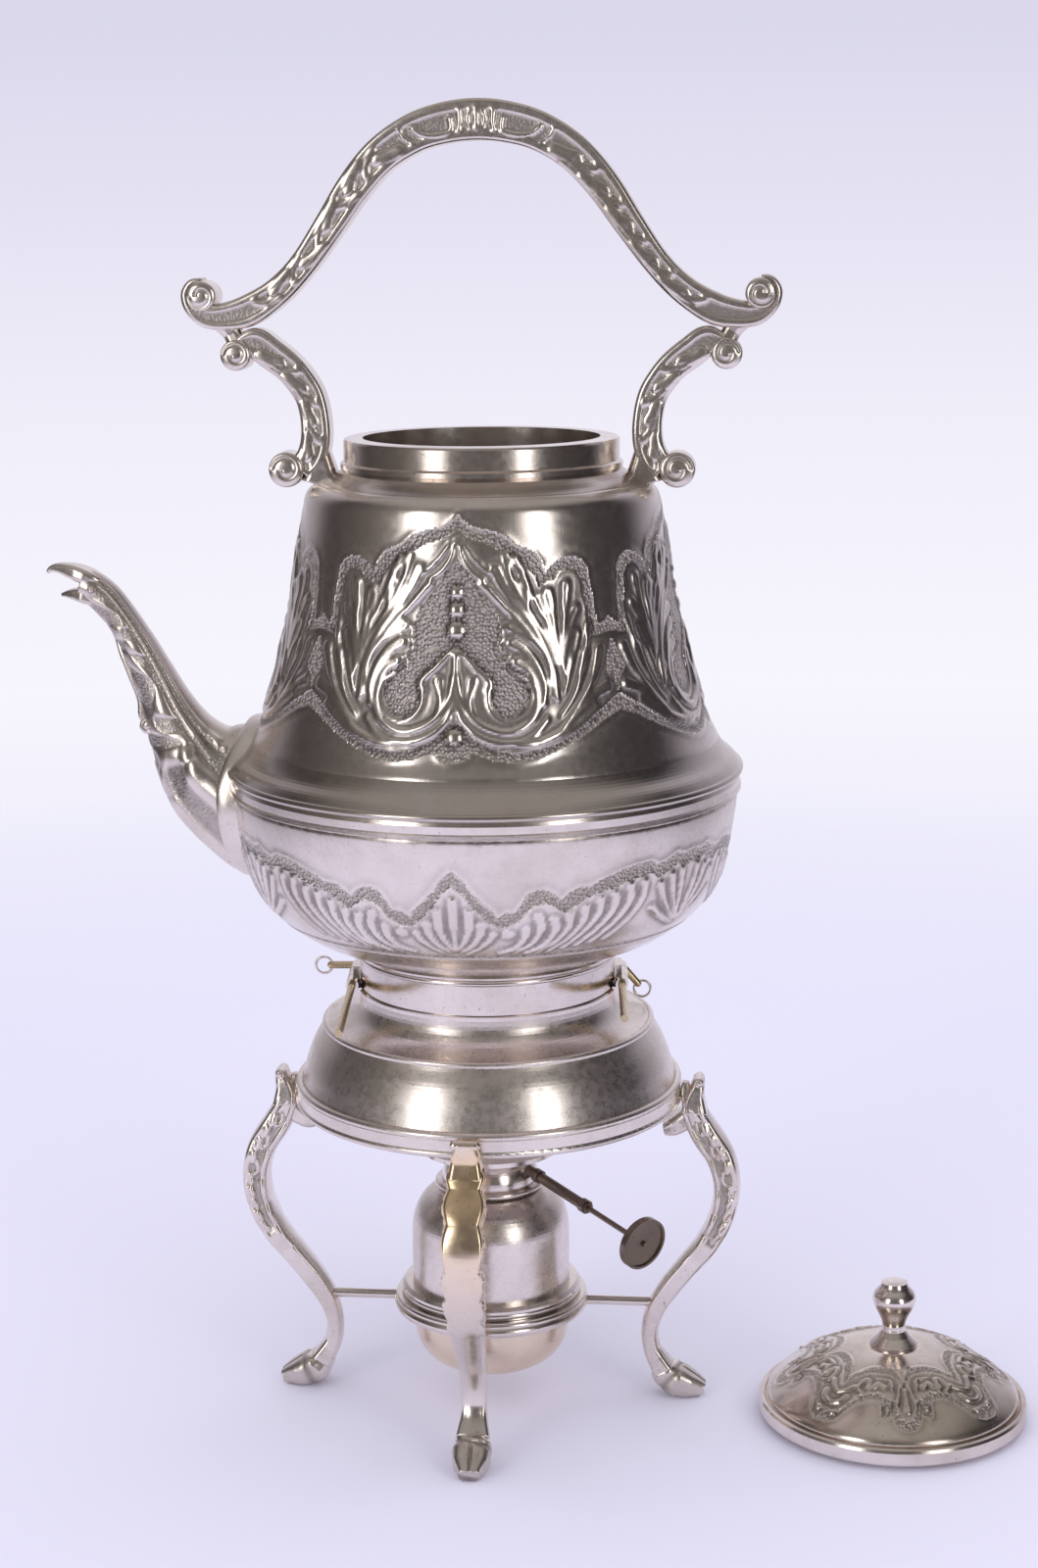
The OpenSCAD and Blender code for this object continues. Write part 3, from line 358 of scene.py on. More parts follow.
# Acanthus band of the lower bowl, half a repeat
BAND_OUT = [(0.1, 188.7), (2.5, 185.5), (4.3, 182), (6.8, 178.7), (9.4, 175.5), (10, 174),
            (11.8, 175.8), (13.9, 175.7), (15.2, 178.7), (16.4, 181.3), (18.5, 182.3),
            (20.7, 182.1), (22.8, 180.4), (24, 178.8), (25.7, 180.7), (27.9, 182.2),
            (30.7, 182.1), (32.9, 183.5), (36, 184.8), (38.9, 186.1), (42.2, 186.9),
            (46.3, 187.2), (48.5, 185.6), (51, 186.4), (54, 188.2), (57, 187), (60, 187.8)]
BAND_IN = [(0.1, 183.4), (2, 181.4), (4, 177.5), (6.1, 174.4), (8.3, 172.1), (10.1, 170.2),
           (12.7, 170.7), (15.6, 173), (16.8, 175.5), (18.5, 177.2), (20.9, 177.6),
           (23.3, 175.8), (25.1, 174), (27.4, 175.9), (29.8, 177.7), (32.8, 179.4),
           (35.7, 179.8), (38.9, 181.3), (42.7, 182.3), (46.9, 182.9), (49, 180.8),
           (52, 182.2), (55, 184), (57.5, 182.6), (60, 183.4)]
BAND_LOBES = [
    (1.3, 0.5, 0.7, [(0, 179), (0, 174.3), (0, 167.8), (0, 163)]),
    (1.3, 0.5, 0.7, [(3.4, 175.5), (3.6, 171), (2.4, 166.5), (0.6, 163.4)]),
    (1.3, 0.5, 0.7, [(6.2, 171.8), (6, 168.6), (4.2, 165), (1.4, 162.6)]),
    (1.1, 0.5, 0.6, [(9, 168.6), (8, 166.4), (5.6, 163.8), (2.6, 161.8)]),
    (1.2, 0.6, 0.7, [(16.6, 170), (16.4, 167), (14.2, 163.8), (10.4, 162.2)]),
    (1.3, 0.6, 0.7, [(19, 174.4), (20, 170), (18.6, 165.6), (14, 162)]),
    (1.3, 0.6, 0.7, [(22.8, 172.8), (23.4, 168.6), (21.2, 164.6), (17, 161.8)]),
    (1.2, 0.6, 0.7, [(26.6, 173.4), (26.6, 169.6), (24, 165.4), (20, 162)]),
    (1.2, 0.6, 0.7, [(30, 175.6), (30, 171.4), (27.4, 166.6), (22.6, 162)]),
    (1.2, 0.6, 0.7, [(33.6, 177.6), (33.6, 173), (30.8, 168), (26, 162.6)]),
    (1.2, 0.6, 0.7, [(37.2, 178.6), (37.4, 174), (34.4, 168.6), (29.4, 163)]),
    (1.2, 0.6, 0.7, [(41, 180.4), (41.4, 175.4), (38.4, 169.6), (33, 163.4)]),
    (1.1, 0.6, 0.6, [(45, 181), (45.2, 176), (42.4, 170), (37, 164)]),
    (1.2, 0.5, 0.7, [(50, 179), (52, 174), (55.6, 169), (59.4, 165.6)]),
    (1.2, 0.5, 0.7, [(53.6, 181), (54.8, 176), (57, 170.4), (59.6, 166)]),
    (1.2, 0.5, 0.7, [(57, 182), (57.6, 176), (58.6, 170.4), (59.8, 166)]),
    (1.1, 0.6, 0.6, [(48.6, 172), (51.6, 169.2), (55.4, 166.6), (59.4, 164.4)]),
    (1.8, 1.8, 0.4, [(12.4, 168.4)]),
]


def chase_lower():
    """Relief of the lower bowl: a leaf and two sprays three times round, over a grained foot."""
    sheet = Sheet(LOWER, rows=112, span=120, cols=240)
    outer, inner = both(BAND_OUT), both(BAND_IN)
    within = sheet.ground([outer], high=0.12, fade=0.7, closing=[(60, 159.2), (-60, 159.2)])
    field = sheet.ground([inner], high=0.16, fade=0.8, closing=[(60, 161), (-60, 161)])
    sheet.wire(outer, wide=0.36, high=0.3)
    sheet.wire(inner, wide=0.3, high=0.2)
    sheet.wire([(-60, 159.2), (0, 159.2), (60, 159.2)], wide=0.5, high=0.3)
    sheet.lobes(BAND_LOBES, wide=1.1, high=1.2, groove=0.3)
    return sheet.finished(within & ~field)


# Cartouche of the lid, half a repeat: angle and height
LID_OUT = [(0.1, 10.2), (3, 10.4), (6, 11.4), (8, 13.4), (10, 13.2), (12, 12.4), (14, 13),
           (15.5, 15.4), (18, 16), (24, 15.8), (30, 14.9), (34, 13), (37, 10.8), (41, 9.8),
           (45, 9.6)]
LID_IN = [(0.1, 12.6), (3, 13), (5, 14.4), (7.5, 16.2), (12, 16.8), (18, 17.4), (24, 17.2),
          (30, 16.6), (34.5, 14.8), (38, 12.8), (45, 12.2)]
LID_UP_OUT = [(0.1, 19.2), (2, 20.2), (6, 21.1), (12, 21.4), (22, 21.4), (31, 21.2),
              (38, 20.6), (43, 19.6), (45, 18.8)]
LID_UP_IN = [(0.1, 17.6), (2.4, 19), (6, 19.9), (12, 20.4), (22, 20.4), (31, 20.1), (38, 19.2),
             (43, 18), (45, 17)]
LID_LOBES = [
    (0.7, 0.5, 0.7, [(5.6, 15.4), (4.4, 17), (3.4, 18.6)]),
    (1.4, 0.6, 0.7, [(0, 14.4), (0, 16), (0, 18)]),
    (1.3, 0.6, 0.8, [(15, 18.4), (20, 18.8), (22, 18)]),
    (1.0, 0.7, 0.7, [(26, 18.4), (28, 19.2), (32, 18.8), (33, 17.4), (30, 17)]),
    (0.8, 0.6, 0.7, [(9, 18.2), (11, 19.4), (16, 19.6), (22, 19.5)]),
    (1.2, 0.7, 0.8, [(37.5, 15.6), (40, 14.4), (45, 13.8)]),
    (1.0, 0.6, 0.7, [(36, 17.6), (40, 16.8), (45, 16)]),
    (1.3, 1.3, 0.8, [(26, 17.8)]), (1.1, 1.1, 0.8, [(40.5, 12.2)]), (0.9, 0.9, 0.7, [(11.4, 14.6)]),
]


def chase_lid():
    """Relief of the lid's dome, four cartouches round."""
    sheet = Sheet(LID, rows=92, span=90, cols=120)
    outer, inner = [both(LID_OUT), both(LID_UP_OUT)], [both(LID_IN), both(LID_UP_IN)]
    within = sheet.ground(outer, high=0.12, fade=0.7)
    field = sheet.inside(inner[0] + inner[1][::-1])
    for line, wide, high in zip(outer + inner, (0.32, 0.32, 0.28, 0.32), (0.3, 0.25, 0.2, 0.25)):
        sheet.wire(line, wide, high)
    sheet.lobes(LID_LOBES)
    return sheet.finished(within & ~field)


# ---- cast straps: handle, brackets, legs


def section(face=18, corner=4):
    """Rounded rectangle as a template round its outline: the share of the straight part across
    (u) and along the width (y), and the outward normal. Its corners are quarter rounds."""
    line = np.linspace(-1, 1, face)
    arc = np.linspace(0, np.pi / 2, corner + 2)[1:-1]
    u, y, nu, ny = [], [], [], []
    for q in range(4):
        turn = q * np.pi / 2
        c, s = round(math.cos(turn)), round(math.sin(turn))
        u += list(c * 1 - s * line) + [c * 1 - s * 1] * corner
        y += list(s * 1 + c * line) + [s * 1 + c * 1] * corner
        nu += [c] * face + list(np.cos(turn + arc))
        ny += [s] * face + list(np.sin(turn + arc))
    return np.array(u, float), np.array(y, float), np.array(nu, float), np.array(ny, float)


def strap(name, line, width, body, slot, finish, place, relief, stations, hides, edge=1.3,
          crown=0.0):
    """Cast strap: a rounded rectangle carried along a line of x, z and thickness. The width is
    one number, or a function of the length and the points. place turns points of x, y, z into
    the part's frame. relief gives a height, a grain and a depth for the length, the shares across
    and along and the face, and the height is added along the normal. edge is the rounding, and
    crown bulges the outer and inner edges by a parabola."""
    pts, run = spaced(line, stations)
    n = right_of(pts)
    w = width(run, pts) if callable(width) else np.full(stations, float(width))
    u, y, nu, ny = section()
    half_t, half_w = pts[:, 2] / 2, w / 2
    r = np.minimum(edge, np.minimum(half_t, half_w) * 0.7)[:, None]
    across = u * (half_t[:, None] - r) + r * nu
    along = y * (half_w[:, None] - r) + r * ny
    across = across + crown * np.sign(u) * (np.abs(nu) > 0.5) * (1 - y * y)
    lift = grain = deep = np.zeros(across.shape)
    if relief is not None:
        lift, grain, deep = relief(run[:, None], u[None, :], y[None, :], nu[None, :],
                                   ny[None, :], half_t[:, None])
    across, along = across + nu * lift, along + ny * lift
    x = pts[:, 0:1] + n[:, 0:1] * across
    z = pts[:, 1:2] + n[:, 1:2] * across
    m = len(u)
    xyz = place(np.stack([x, along, z], -1).reshape(-1, 3))
    last = (stations - 1) * m
    put(name, xyz, quads(stations, m), body, slot, finish, hides,
        {"grain": grain, "deep": deep}, [range(m - 1, -1, -1), range(last, last + m)])


def leaf_work(strokes, deep, margin, until=None):
    """Relief for a strap's two wide faces: a sunk, grained ground between raised edges, with
    rounded lobes that follow strokes of length and share across. The ground is deep mm down,
    ends short of the edges at the share margin, and ends at the length until."""
    def relief(run, u, y, nu, ny, half_t):
        face = np.abs(ny) > 0.99
        sunk = step_up(margin - np.abs(u), 0, 0.26) * face
        if until is not None:
            sunk = sunk * step_up(until - run, 0, 8)
        best = np.zeros(np.broadcast(run, u).shape)
        for wide, high, points in strokes:
            p = smooth_line(points, 4)
            for a, b in zip(p[:-1], p[1:]):
                ax, ay = a[0] - run, (a[1] - u) * half_t
                dx, dy = b[0] - a[0], (b[1] - a[1]) * half_t
                t = np.clip(-(ax * dx + ay * dy) / (dx * dx + dy * dy + 1e-9), 0, 1)
                d = np.hypot(ax + t * dx, ay + t * dy)
                best = np.maximum(best, high * np.sqrt(np.clip(1 - (d / wide)**2, 0, 1)))
        best = best * face
        ground = sunk * (best < 0.06)
        lift = np.where(face, -deep * sunk + best * (0.4 + 0.6 * sunk), 0)
        return lift, 0.12 * ground + 0 * lift, np.clip(sunk * (0.45 - best) * 1.7, 0, 1)
    return relief


def scroll_disc(name, centre, radius, width, way, body, slot, finish, place, hides):
    """Rolled end of a scroll: a disc across the width with rounded edges and domed faces. On
    each face a groove winds out once as the angle grows the given way, at a radius that grows
    with the angle."""
    rings, cols = 20, 64
    flat = np.linspace(0.02, 0.94, rings)
    rho = np.r_[flat, 0.99, 1, 1, 1, 0.99, flat[::-1]]
    y = np.r_[np.full(rings, -1.0), -0.95, -0.8, 0, 0.8, 0.95, np.full(rings, 1.0)]
    a = np.linspace(0, TURN, cols, endpoint=False)
    rr, aa = np.meshgrid(rho, a, indexing="ij")
    yy = np.repeat(y[:, None], cols, 1)
    face = np.abs(yy) > 0.99
    groove = 0.30 + 0.50 * ((way * aa / TURN) % 1)
    cut = np.exp(-((rr - groove) / 0.12)**2) * face
    swell = np.where(face, 1.3 * np.sqrt(np.clip(1 - rr**2, 0, 1)) - 0.35 * cut, 0)
    xyz = np.stack([centre[0] + radius * rr * np.cos(aa), yy * (width / 2) + np.sign(yy) * swell,
                    centre[1] + radius * rr * np.sin(aa)], -1)
    rows = len(rho)
    put(name, place(xyz.reshape(-1, 3)), quads(rows, cols), body, slot, finish, hides,
        {"grain": 0 * cut, "deep": 0.35 * cut},
        [range(cols - 1, -1, -1), range((rows - 1) * cols, rows * cols)])


def here(xyz):
    """Points as they are."""
    return xyz


def mirrored(xyz):
    """Points mirrored in x."""
    return xyz * [-1, 1, 1]


def turned(angle):
    """A function that turns points about the upright axis by an angle in degrees."""
    c, s = math.cos(math.radians(angle)), math.sin(math.radians(angle))
    return lambda xyz: np.stack([c * xyz[:, 0] - s * xyz[:, 1], s * xyz[:, 0] + c * xyz[:, 1],
                                 xyz[:, 2]], -1)


HALF_ARCH = [(0, 394, 12), (9.5, 393, 11.8), (18.6, 390.2, 11.3), (28.2, 384.1, 10.6),
             (36.4, 375.1, 9.8), (43.6, 364.6, 8.8), (52, 353, 7.8), (59.8, 345.2, 8.2),
             (68.4, 339.9, 9.2), (75.2, 338.2, 8.2), (81, 338.2, 6.8), (85.2, 340.8, 4.8),
             (86.7, 344.6, 3.6), (85, 347.6, 3), (82.4, 348.2, 2.4)]
BRACKET = [(71.6, 329.8, 5), (66.8, 330.4, 8.8), (62.3, 327.3, 9.4), (57.2, 323.4, 9),
           (53.6, 319.2, 8.8), (50.8, 314.4, 8.6), (49.4, 308, 8.6), (49.4, 301.5, 8.8),
           (51, 296.4, 8.8), (54, 293.2, 8.4)]
LEG = [(63.4, 98.4, 6.5), (63.9, 94.2, 7), (66.6, 88.6, 8), (72.2, 79.6, 8), (74.2, 70.4, 7.5),
       (72.8, 60.8, 7), (68.4, 51.6, 6.4), (62, 43.4, 6), (56.7, 36.4, 6), (52.5, 29.6, 5.4),
       (50.3, 22, 4.5), (51, 15, 4.8), (54.6, 8.6, 6.4)]
LEG_WIDTH = smooth_line([(5.6, 0), (5.5, 8), (4.2, 15), (4.2, 26), (5, 40), (5.8, 56), (6, 72),
                         (5.8, 88), (5.2, 97), (4.4, 105.8)])


def leaves(start, end, pitch, way=1, wide=1.0, high=0.7):
    """Strokes of a running leaf: fat lobes that hang from one edge and lean forward, each with a
    slender one beside it."""
    strokes = []
    for n, s in enumerate(np.arange(start, end, pitch)):
        k = way * (1 if n % 2 else 0.8)
        strokes.append((wide * 1.9, high, [(s, 0.66 * k), (s + pitch * 0.3, 0.46 * k),
                                           (s + pitch * 0.5, 0.12 * k)]))
        strokes.append((wide * 1.3, high * 0.8, [
            (s + pitch * 0.5, 0.6 * k), (s + pitch * 0.8, 0.3 * k),
            (s + pitch * 0.95, -0.2 * k), (s + pitch, -0.5 * k)]))
    return strokes


def bosses(start, end, pitch, share, wide, high):
    """Rounded bosses in a row along one edge."""
    return [(wide, high, [(s, share), (s + pitch * 0.35, share * 0.7)])
            for s in np.arange(start, end, pitch)]


def knot(mid):
    """Strokes round the middle of the handle: an upright knot between two arched leaves."""
    strokes = [(1.0, 0.8, [(mid, -0.7), (mid, 0.1)]), (1.2, 0.8, [(mid, 0.3), (mid, 0.55)])]
    for k in (-1, 1):
        strokes += [(0.8, 0.7, [(mid + k * 1.6, -0.6), (mid + k * 2.6, 0), (mid + k * 1.8, 0.5)]),
                    (0.9, 0.8, [(mid + k * 4.6, -0.6), (mid + k * 4.8, 0.1),
                                (mid + k * 5.6, 0.62)]),
                    (0.9, 0.8, [(mid + k * 7.5, -0.2), (mid + k * 7.6, 0.4), (mid + k * 9.5, 0.66),
                                (mid + k * 13.5, 0.62), (mid + k * 17, 0.3),
                                (mid + k * 18.5, -0.3)]),
                    (0.7, 0.6, [(mid + k * 20.5, 0.6), (mid + k * 22, 0), (mid + k * 22, -0.6)])]
    return strokes


def evenly(widths):
    """Width at each station, from widths given at equal steps of the length."""
    return lambda run, pts: np.interp(run, np.linspace(0, run[-1], len(widths)), widths)


def lofts(name, parts, body, slot, finish, place, hides):
    """Small plain straps, each given by its line, its width at even steps and its rounding."""
    for n, (line, widths, edge) in enumerate(parts):
        strap("%s_%d" % (name, n + 1), smooth_line(line, 6), evenly(widths), body, slot, finish,
              place, None, 28, hides, edge)


# Rolled ends: middle in x and z, and radius
ARCH_ROLL, UPPER_ROLL, LOWER_ROLL = ((82.2, 344.1), 4.5), ((72.5, 326.8), 4.6), ((58.2, 293), 5.3)
LEAF_BUD = ((65.4, 104.2), 1.6)
SPOUT_EYE, SPOUT_CURL = ((-118.8, 256.9), 1.3), ((-102.8, 215.2), 2.7)
# Plain pieces that join a bracket to the arch and to the body
WEB = [([(72.2, 330, 6.4), (73.8, 333, 5.6), (75.6, 336.4, 8)], (7.6, 7, 8), 2)]
FOOT = [([(50.2, 300, 8), (48.8, 295, 8.6), (48.2, 291, 10), (48.6, 288.6, 11)],
         (8.6, 8.6, 9, 9), 2.4)]


def make_handle(finish, arch_width, bracket_width):
    """The arched handle with its rolled ends, and the two scroll brackets."""
    kit = ("kettle", "worn_silver_plate", finish)
    right = np.array(HALF_ARCH)
    line = smooth_line(np.vstack([(right[:0:-1]) * [-1, 1, 1], right]), 8)
    mid = spaced(line, 50)[1][-1] / 2
    work = knot(mid)
    for k in (-1, 1):
        work += [(w, h, [(mid + k * s, v * k if n % 3 else v) for s, v in p])
                 for n, (w, h, p) in enumerate(leaves(25.5, 84, 12.4, 1, 1.35, 0.75))]
    strap("handle_arch_chased", line, arch_width, *kit, here, leaf_work(work, 0.5, 0.7), 420,
          ("handle_arch",))
    hanging = leaf_work(leaves(9, 42, 10.5, -1, 1.3), 0.45, 0.72)
    for side, place in (("right", here), ("left", mirrored)):
        node = "handle_bracket_" + side
        ends = (*kit, place, (node,))
        scroll_disc("handle_roll_" + side, *ARCH_ROLL, arch_width + 1, 1, *kit, place,
                    ("handle_arch",))
        strap(node + "_chased", smooth_line(BRACKET, 8), bracket_width, *kit, place, hanging, 170,
              (node,))
        for end, roll in (("upper", UPPER_ROLL), ("lower", LOWER_ROLL)):
            scroll_disc("bracket_%s_roll_%s" % (end, side), *roll, bracket_width + 0.3, -1, *ends)
        lofts("bracket_web_" + side, WEB, *ends)
        lofts("bracket_foot_" + side, FOOT, *ends)


LEAF_TOP = [([(63.8, 94.6, 8.4), (64.2, 99, 5.8), (65, 102.4, 4.4), (65.4, 105, 3.4)],
             (10.4, 9.2, 8, 6), 1.5),
            ([(63, 95.6, 5), (61.9, 99, 4), (61.2, 101.6, 3), (61.4, 103.6, 2)],
             (8.6, 7.6, 6, 3), 1),
            ([(64.6, 94.6, 7.4), (61.6, 92.2, 6.4), (59, 90.4, 5.8), (56.6, 89.1, 5.2),
              (54.6, 88.6, 3.6)], (10.4, 9.8, 9.2, 9, 6.6), 1.8)]
HOOF = [(53.2, 11.2, 5), (54.4, 8.4, 6.8), (57, 5.9, 9.4), (60.4, 4.5, 8.8), (64.2, 3.3, 6.4),
        (67.2, 2.2, 4.2)]
HOOF_WIDTH = ((0, 4, 9, 13, 17), (7.6, 9.8, 11.8, 10.6, 6.6))


def hoof_work(run, u, y, nu, ny, half_t):
    """A raised band round the top of the hoof, a groove below it, and a cleft down the toe."""
    one = np.ones(np.broadcast(run, u).shape)
    groove = np.exp(-((run - 7.2 - 1.2 * y) / 1.1)**2)
    band = 0.5 * np.exp(-((run - 4.4 - 1.2 * y) / 1.5)**2) - 0.3 * groove
    cleft = 0.6 * np.exp(-(y / 0.14)**2) * step_up(run, 8, 11) * (np.abs(nu) > 0.9)
    deep = np.clip(0.8 * groove + cleft + 0.3 * step_up(run, 4, 8), 0, 1)
    return (band - cleft) * one, 0 * one, deep * one


def leg_width(scallop):
    """Width of a leg at each station: twice the half width given for its height, and edges that
    wave by the scallop in mm above the knee."""
    def at(run, pts):
        wave = np.abs(np.sin(run / 3.1 + 0.4 * np.sin(run / 7))) - 0.5
        return (2 * np.interp(pts[:, 1], LEG_WIDTH[:, 1], LEG_WIDTH[:, 0]) - 0.8
                + scallop * wave * step_up(64 - run, 0, 14))
    return at


def make_legs(finish, gilt):
    """Four cast legs: a strap with scalloped edges and bosses above, a leaf on top, a scroll
    under the rim and a cloven hoof. The front one is worn to brass near its top."""
    line = smooth_line(LEG, 8)
    work = bosses(9, 27, 4.6, -0.55, 1.7, 1.2) + bosses(30, 48, 4.0, -0.5, 1.5, 1.1)
    work += [(1.0, 0.7, [(s, 0.1), (s + 2.4, 0.4), (s + 4, 0.1)]) for s in (7, 16, 25)]
    work = leaf_work(work, 0.6, 0.85, 52)
    for name, angle in (("right", 0), ("back", 90), ("left", 180), ("front", -90)):
        node, place = "leg_" + name, turned(angle)
        look, scallop = (gilt, 2.2) if name == "front" else (finish, 1.2)
        kit = ("stand", "worn_silver_plate", look)
        strap(node + "_cast", line, leg_width(scallop), *kit, place, work, 260, (node,),
              crown=0.45)
        strap("hoof_" + name, smooth_line(HOOF, 8), lambda run, pts: np.interp(run, *HOOF_WIDTH),
              *kit, place, hoof_work, 90, (node,), edge=4.4)
        lofts("leaf_top_" + name, LEAF_TOP, *kit, place, (node,))
        scroll_disc("leaf_bud_" + name, *LEAF_BUD, 6.4, 1, *kit, place, (node,))


# ---- spout

# Sections of the tube: x and z of the middle, half height, half width and lean in degrees
STATIONS = [(-70, 191.5, 24, 15, 0), (-76, 191.8, 23, 14.8, 0), (-82, 195.2, 19.4, 14, 12),
            (-88.4, 202.6, 14.8, 12.4, 38), (-93.6, 212, 10.6, 10, 60), (-97.7, 220.9, 8, 8.4, 66),
            (-101.6, 230.3, 6.4, 7.2, 66), (-105.9, 239.2, 5.5, 6.2, 62),
            (-110.8, 247.5, 5, 5.6, 56), (-115.4, 253.5, 5.1, 5.3, 46), (-120, 257.2, 5.1, 5, 29),
            (-122.6, 258.3, 4.6, 4.6, 20)]
BEAK = [([(-116, 257.6, 3.4), (-120, 259.9, 4.4), (-124, 261.5, 4.5), (-127.4, 262.5, 3.8),
          (-130.4, 262.9, 2.8), (-132.4, 262.4, 1.9), (-133.3, 261.5, 1)],
         (6, 8.8, 9.6, 8.6, 6.2, 3.8, 1.8), 1.7),
        ([(-116, 252.6, 3), (-119.6, 253.7, 3.8), (-123, 254.7, 3.9), (-126.2, 255, 2.8),
          (-129.2, 254.7, 1)], (6, 8.6, 8.8, 6, 2), 1.3)]
TENDRIL = [([(-112.8, 243.8, 1.4), (-110.6, 237.6, 2.6), (-107.6, 230, 3), (-105, 222.8, 3),
             (-104.8, 218, 3), (-103, 215, 2.6)], (3.4, 6, 7, 7.6, 8), 1.2)]
# The body's outline from the foot to the mouth, which the root of the spout follows
BODY_Z, BODY_R = np.r_[LOWER[:, 1], UPPER[:, 1]], np.r_[LOWER[:, 0], UPPER[:, 0]]


def spout_work(run, down, total):
    """Cast work on the spout, by the length from its root and the angle down from its back: a
    smooth back strip, two ridges beside it, a row of curled leaves down each side, and broad
    leaves that fan out over the root."""
    end = 1 - step_up(run, total - 8, total - 2)
    neck = step_up(run, 16, 26) * end
    ridge = 0.5 * np.exp(-((down - 0.72) / 0.09)**2) + 0.45 * np.exp(-((down - 1.02) / 0.08)**2)
    groove = np.exp(-((down - 0.87) / 0.07)**2) + np.exp(-((down - 1.16) / 0.07)**2)
    flank = step_up(down, 1.16, 1.3)
    curl = (np.sin(run / 2.3 - 2.2 * down + 1.5 * np.sin(run / 5.3))
            * np.sin(down * 3.3 + 0.6 + 1.1 * np.sin(run / 3.7)))
    leaf = np.maximum(np.abs(curl)**0.6 * np.sign(curl), -0.45)
    fan = np.cos(6.5 * down + 0.16 * run + 1.2 * np.sin(run / 5.5))
    fan = np.maximum(np.abs(fan)**0.7 * np.sign(fan), -0.4)
    root = step_up(run, 3, 9) * (1 - step_up(run, 24, 34)) * step_up(down, 0.5, 0.8)
    relief = neck * (ridge - 0.35 * groove) + neck * flank * 0.42 * leaf + root * 0.8 * fan
    deep = np.clip(neck * (0.8 * groove + flank * (0.2 - 0.8 * leaf)) + root * (0.25 - fan), 0, 1)
    return relief, deep


FLANGE = smooth_line([(70.4, 165.6), (74.4, 168.6), (78, 175), (80.6, 183.8), (81.7, 192),
                      (81.5, 199), (79.2, 206), (75, 213), (70.6, 219.6)])


def make_flange(finish):
    """Oval plate behind the spout, with a bead round its edge. A point a share k of the way out
    lies k times as far from the plate's middle in y and z, and as far from the axis as the
    flange's outline gives for its height, less the step down from the bead."""
    k = np.r_[np.linspace(0.3, 0.86, 12), np.linspace(0.87, 1, 20)]
    a = np.linspace(0, TURN, 128, endpoint=False)
    kk, aa = np.meshgrid(np.r_[k, k[::-1]], a, indexing="ij")
    y, z = kk * 21 * np.cos(aa), 192.8 + kk * 25.6 * np.sin(aa)
    bare = np.interp(z, BODY_Z, BODY_R) - 0.8
    bare = np.where((z > 197) & (z < 204), 76.4, bare)
    top = np.interp(z, FLANGE[:, 1], FLANGE[:, 0])
    thick = np.maximum(top - bare, 1.4)
    bead = thick * np.sqrt(np.clip(1 - ((kk - 0.945) / 0.055)**2, 0, 1))
    plate = np.where(kk < 0.93, thick - 0.9, 0)
    over = np.arange(len(kk))[:, None] < len(k)
    r = np.where(over, bare + np.maximum(bead, plate), bare - 0.3)
    xyz = np.stack([-np.sqrt(r * r - y * y), y, z], -1)
    put("spout_flange_cast", xyz, quads(len(kk), 128, True), "kettle", "worn_silver_plate", finish,
        ("spout_flange",), {"grain": 0 * y, "deep": over * np.exp(-((kk - 0.89) / 0.02)**2)})


def make_spout(finish):
    """Cast spout with a beaked head. Each section of the tube is an oval at right angles to the
    spout's line, and points inside the body are moved out to just under its face."""
    s = smooth_line(STATIONS, 10)
    run = np.r_[0, np.cumsum(np.hypot(*np.diff(s[:, :2], axis=0).T))]
    rows, cols = 260, 112
    phi = np.linspace(0, TURN, cols, endpoint=False)
    at = np.linspace(0, run[-1], rows)
    x, z, h, w, a = (np.interp(at, run, s[:, k])[:, None] for k in range(5))
    ux, uz = np.sin(np.radians(a)), np.cos(np.radians(a))
    down = np.abs((phi + np.pi) % TURN - np.pi)[None, :]
    relief, deep = spout_work(at[:, None], down, run[-1])
    relief = relief * np.clip(h / 9, 0.6, 1.3)

    def shell(inset, bump):
        """Face of the tube, set in by inset and out by bump."""
        hh, ww = h - inset, w - inset
        px, pz = x + ux * (hh + bump) * np.cos(phi), z + uz * (hh + bump) * np.cos(phi)
        py = (ww + bump) * np.sin(phi) + 0 * px
        r = np.hypot(px, py)
        least = np.interp(pz, BODY_Z, BODY_R) - 0.5 - 0.4 * (inset > 0)
        grow = np.where(r < least, least / r, 1)
        return np.stack([px * grow, py * grow, pz], -1)

    outer, inner = shell(0, relief), shell(1.5, 0 * relief)
    zero = np.zeros(relief.shape)
    marks = {"grain": np.vstack([0.3 * deep, zero]), "deep": np.vstack([deep, zero + 0.6])}
    kit = ("kettle", "worn_silver_plate", finish)
    put("spout_cast", np.concatenate([outer, inner[::-1]]), quads(2 * rows, cols, True), *kit,
        ("spout",), marks)
    lofts("spout_beak", BEAK, *kit, here, ("spout",))
    lofts("spout_tendril", TENDRIL, *kit, here, ("spout",))
    scroll_disc("spout_eye", *SPOUT_EYE, 10.4, 1, *kit, here, ("spout",))
    scroll_disc("spout_curl", *SPOUT_CURL, 10.4, -1, *kit, here, ("spout",))


# ---- finishes


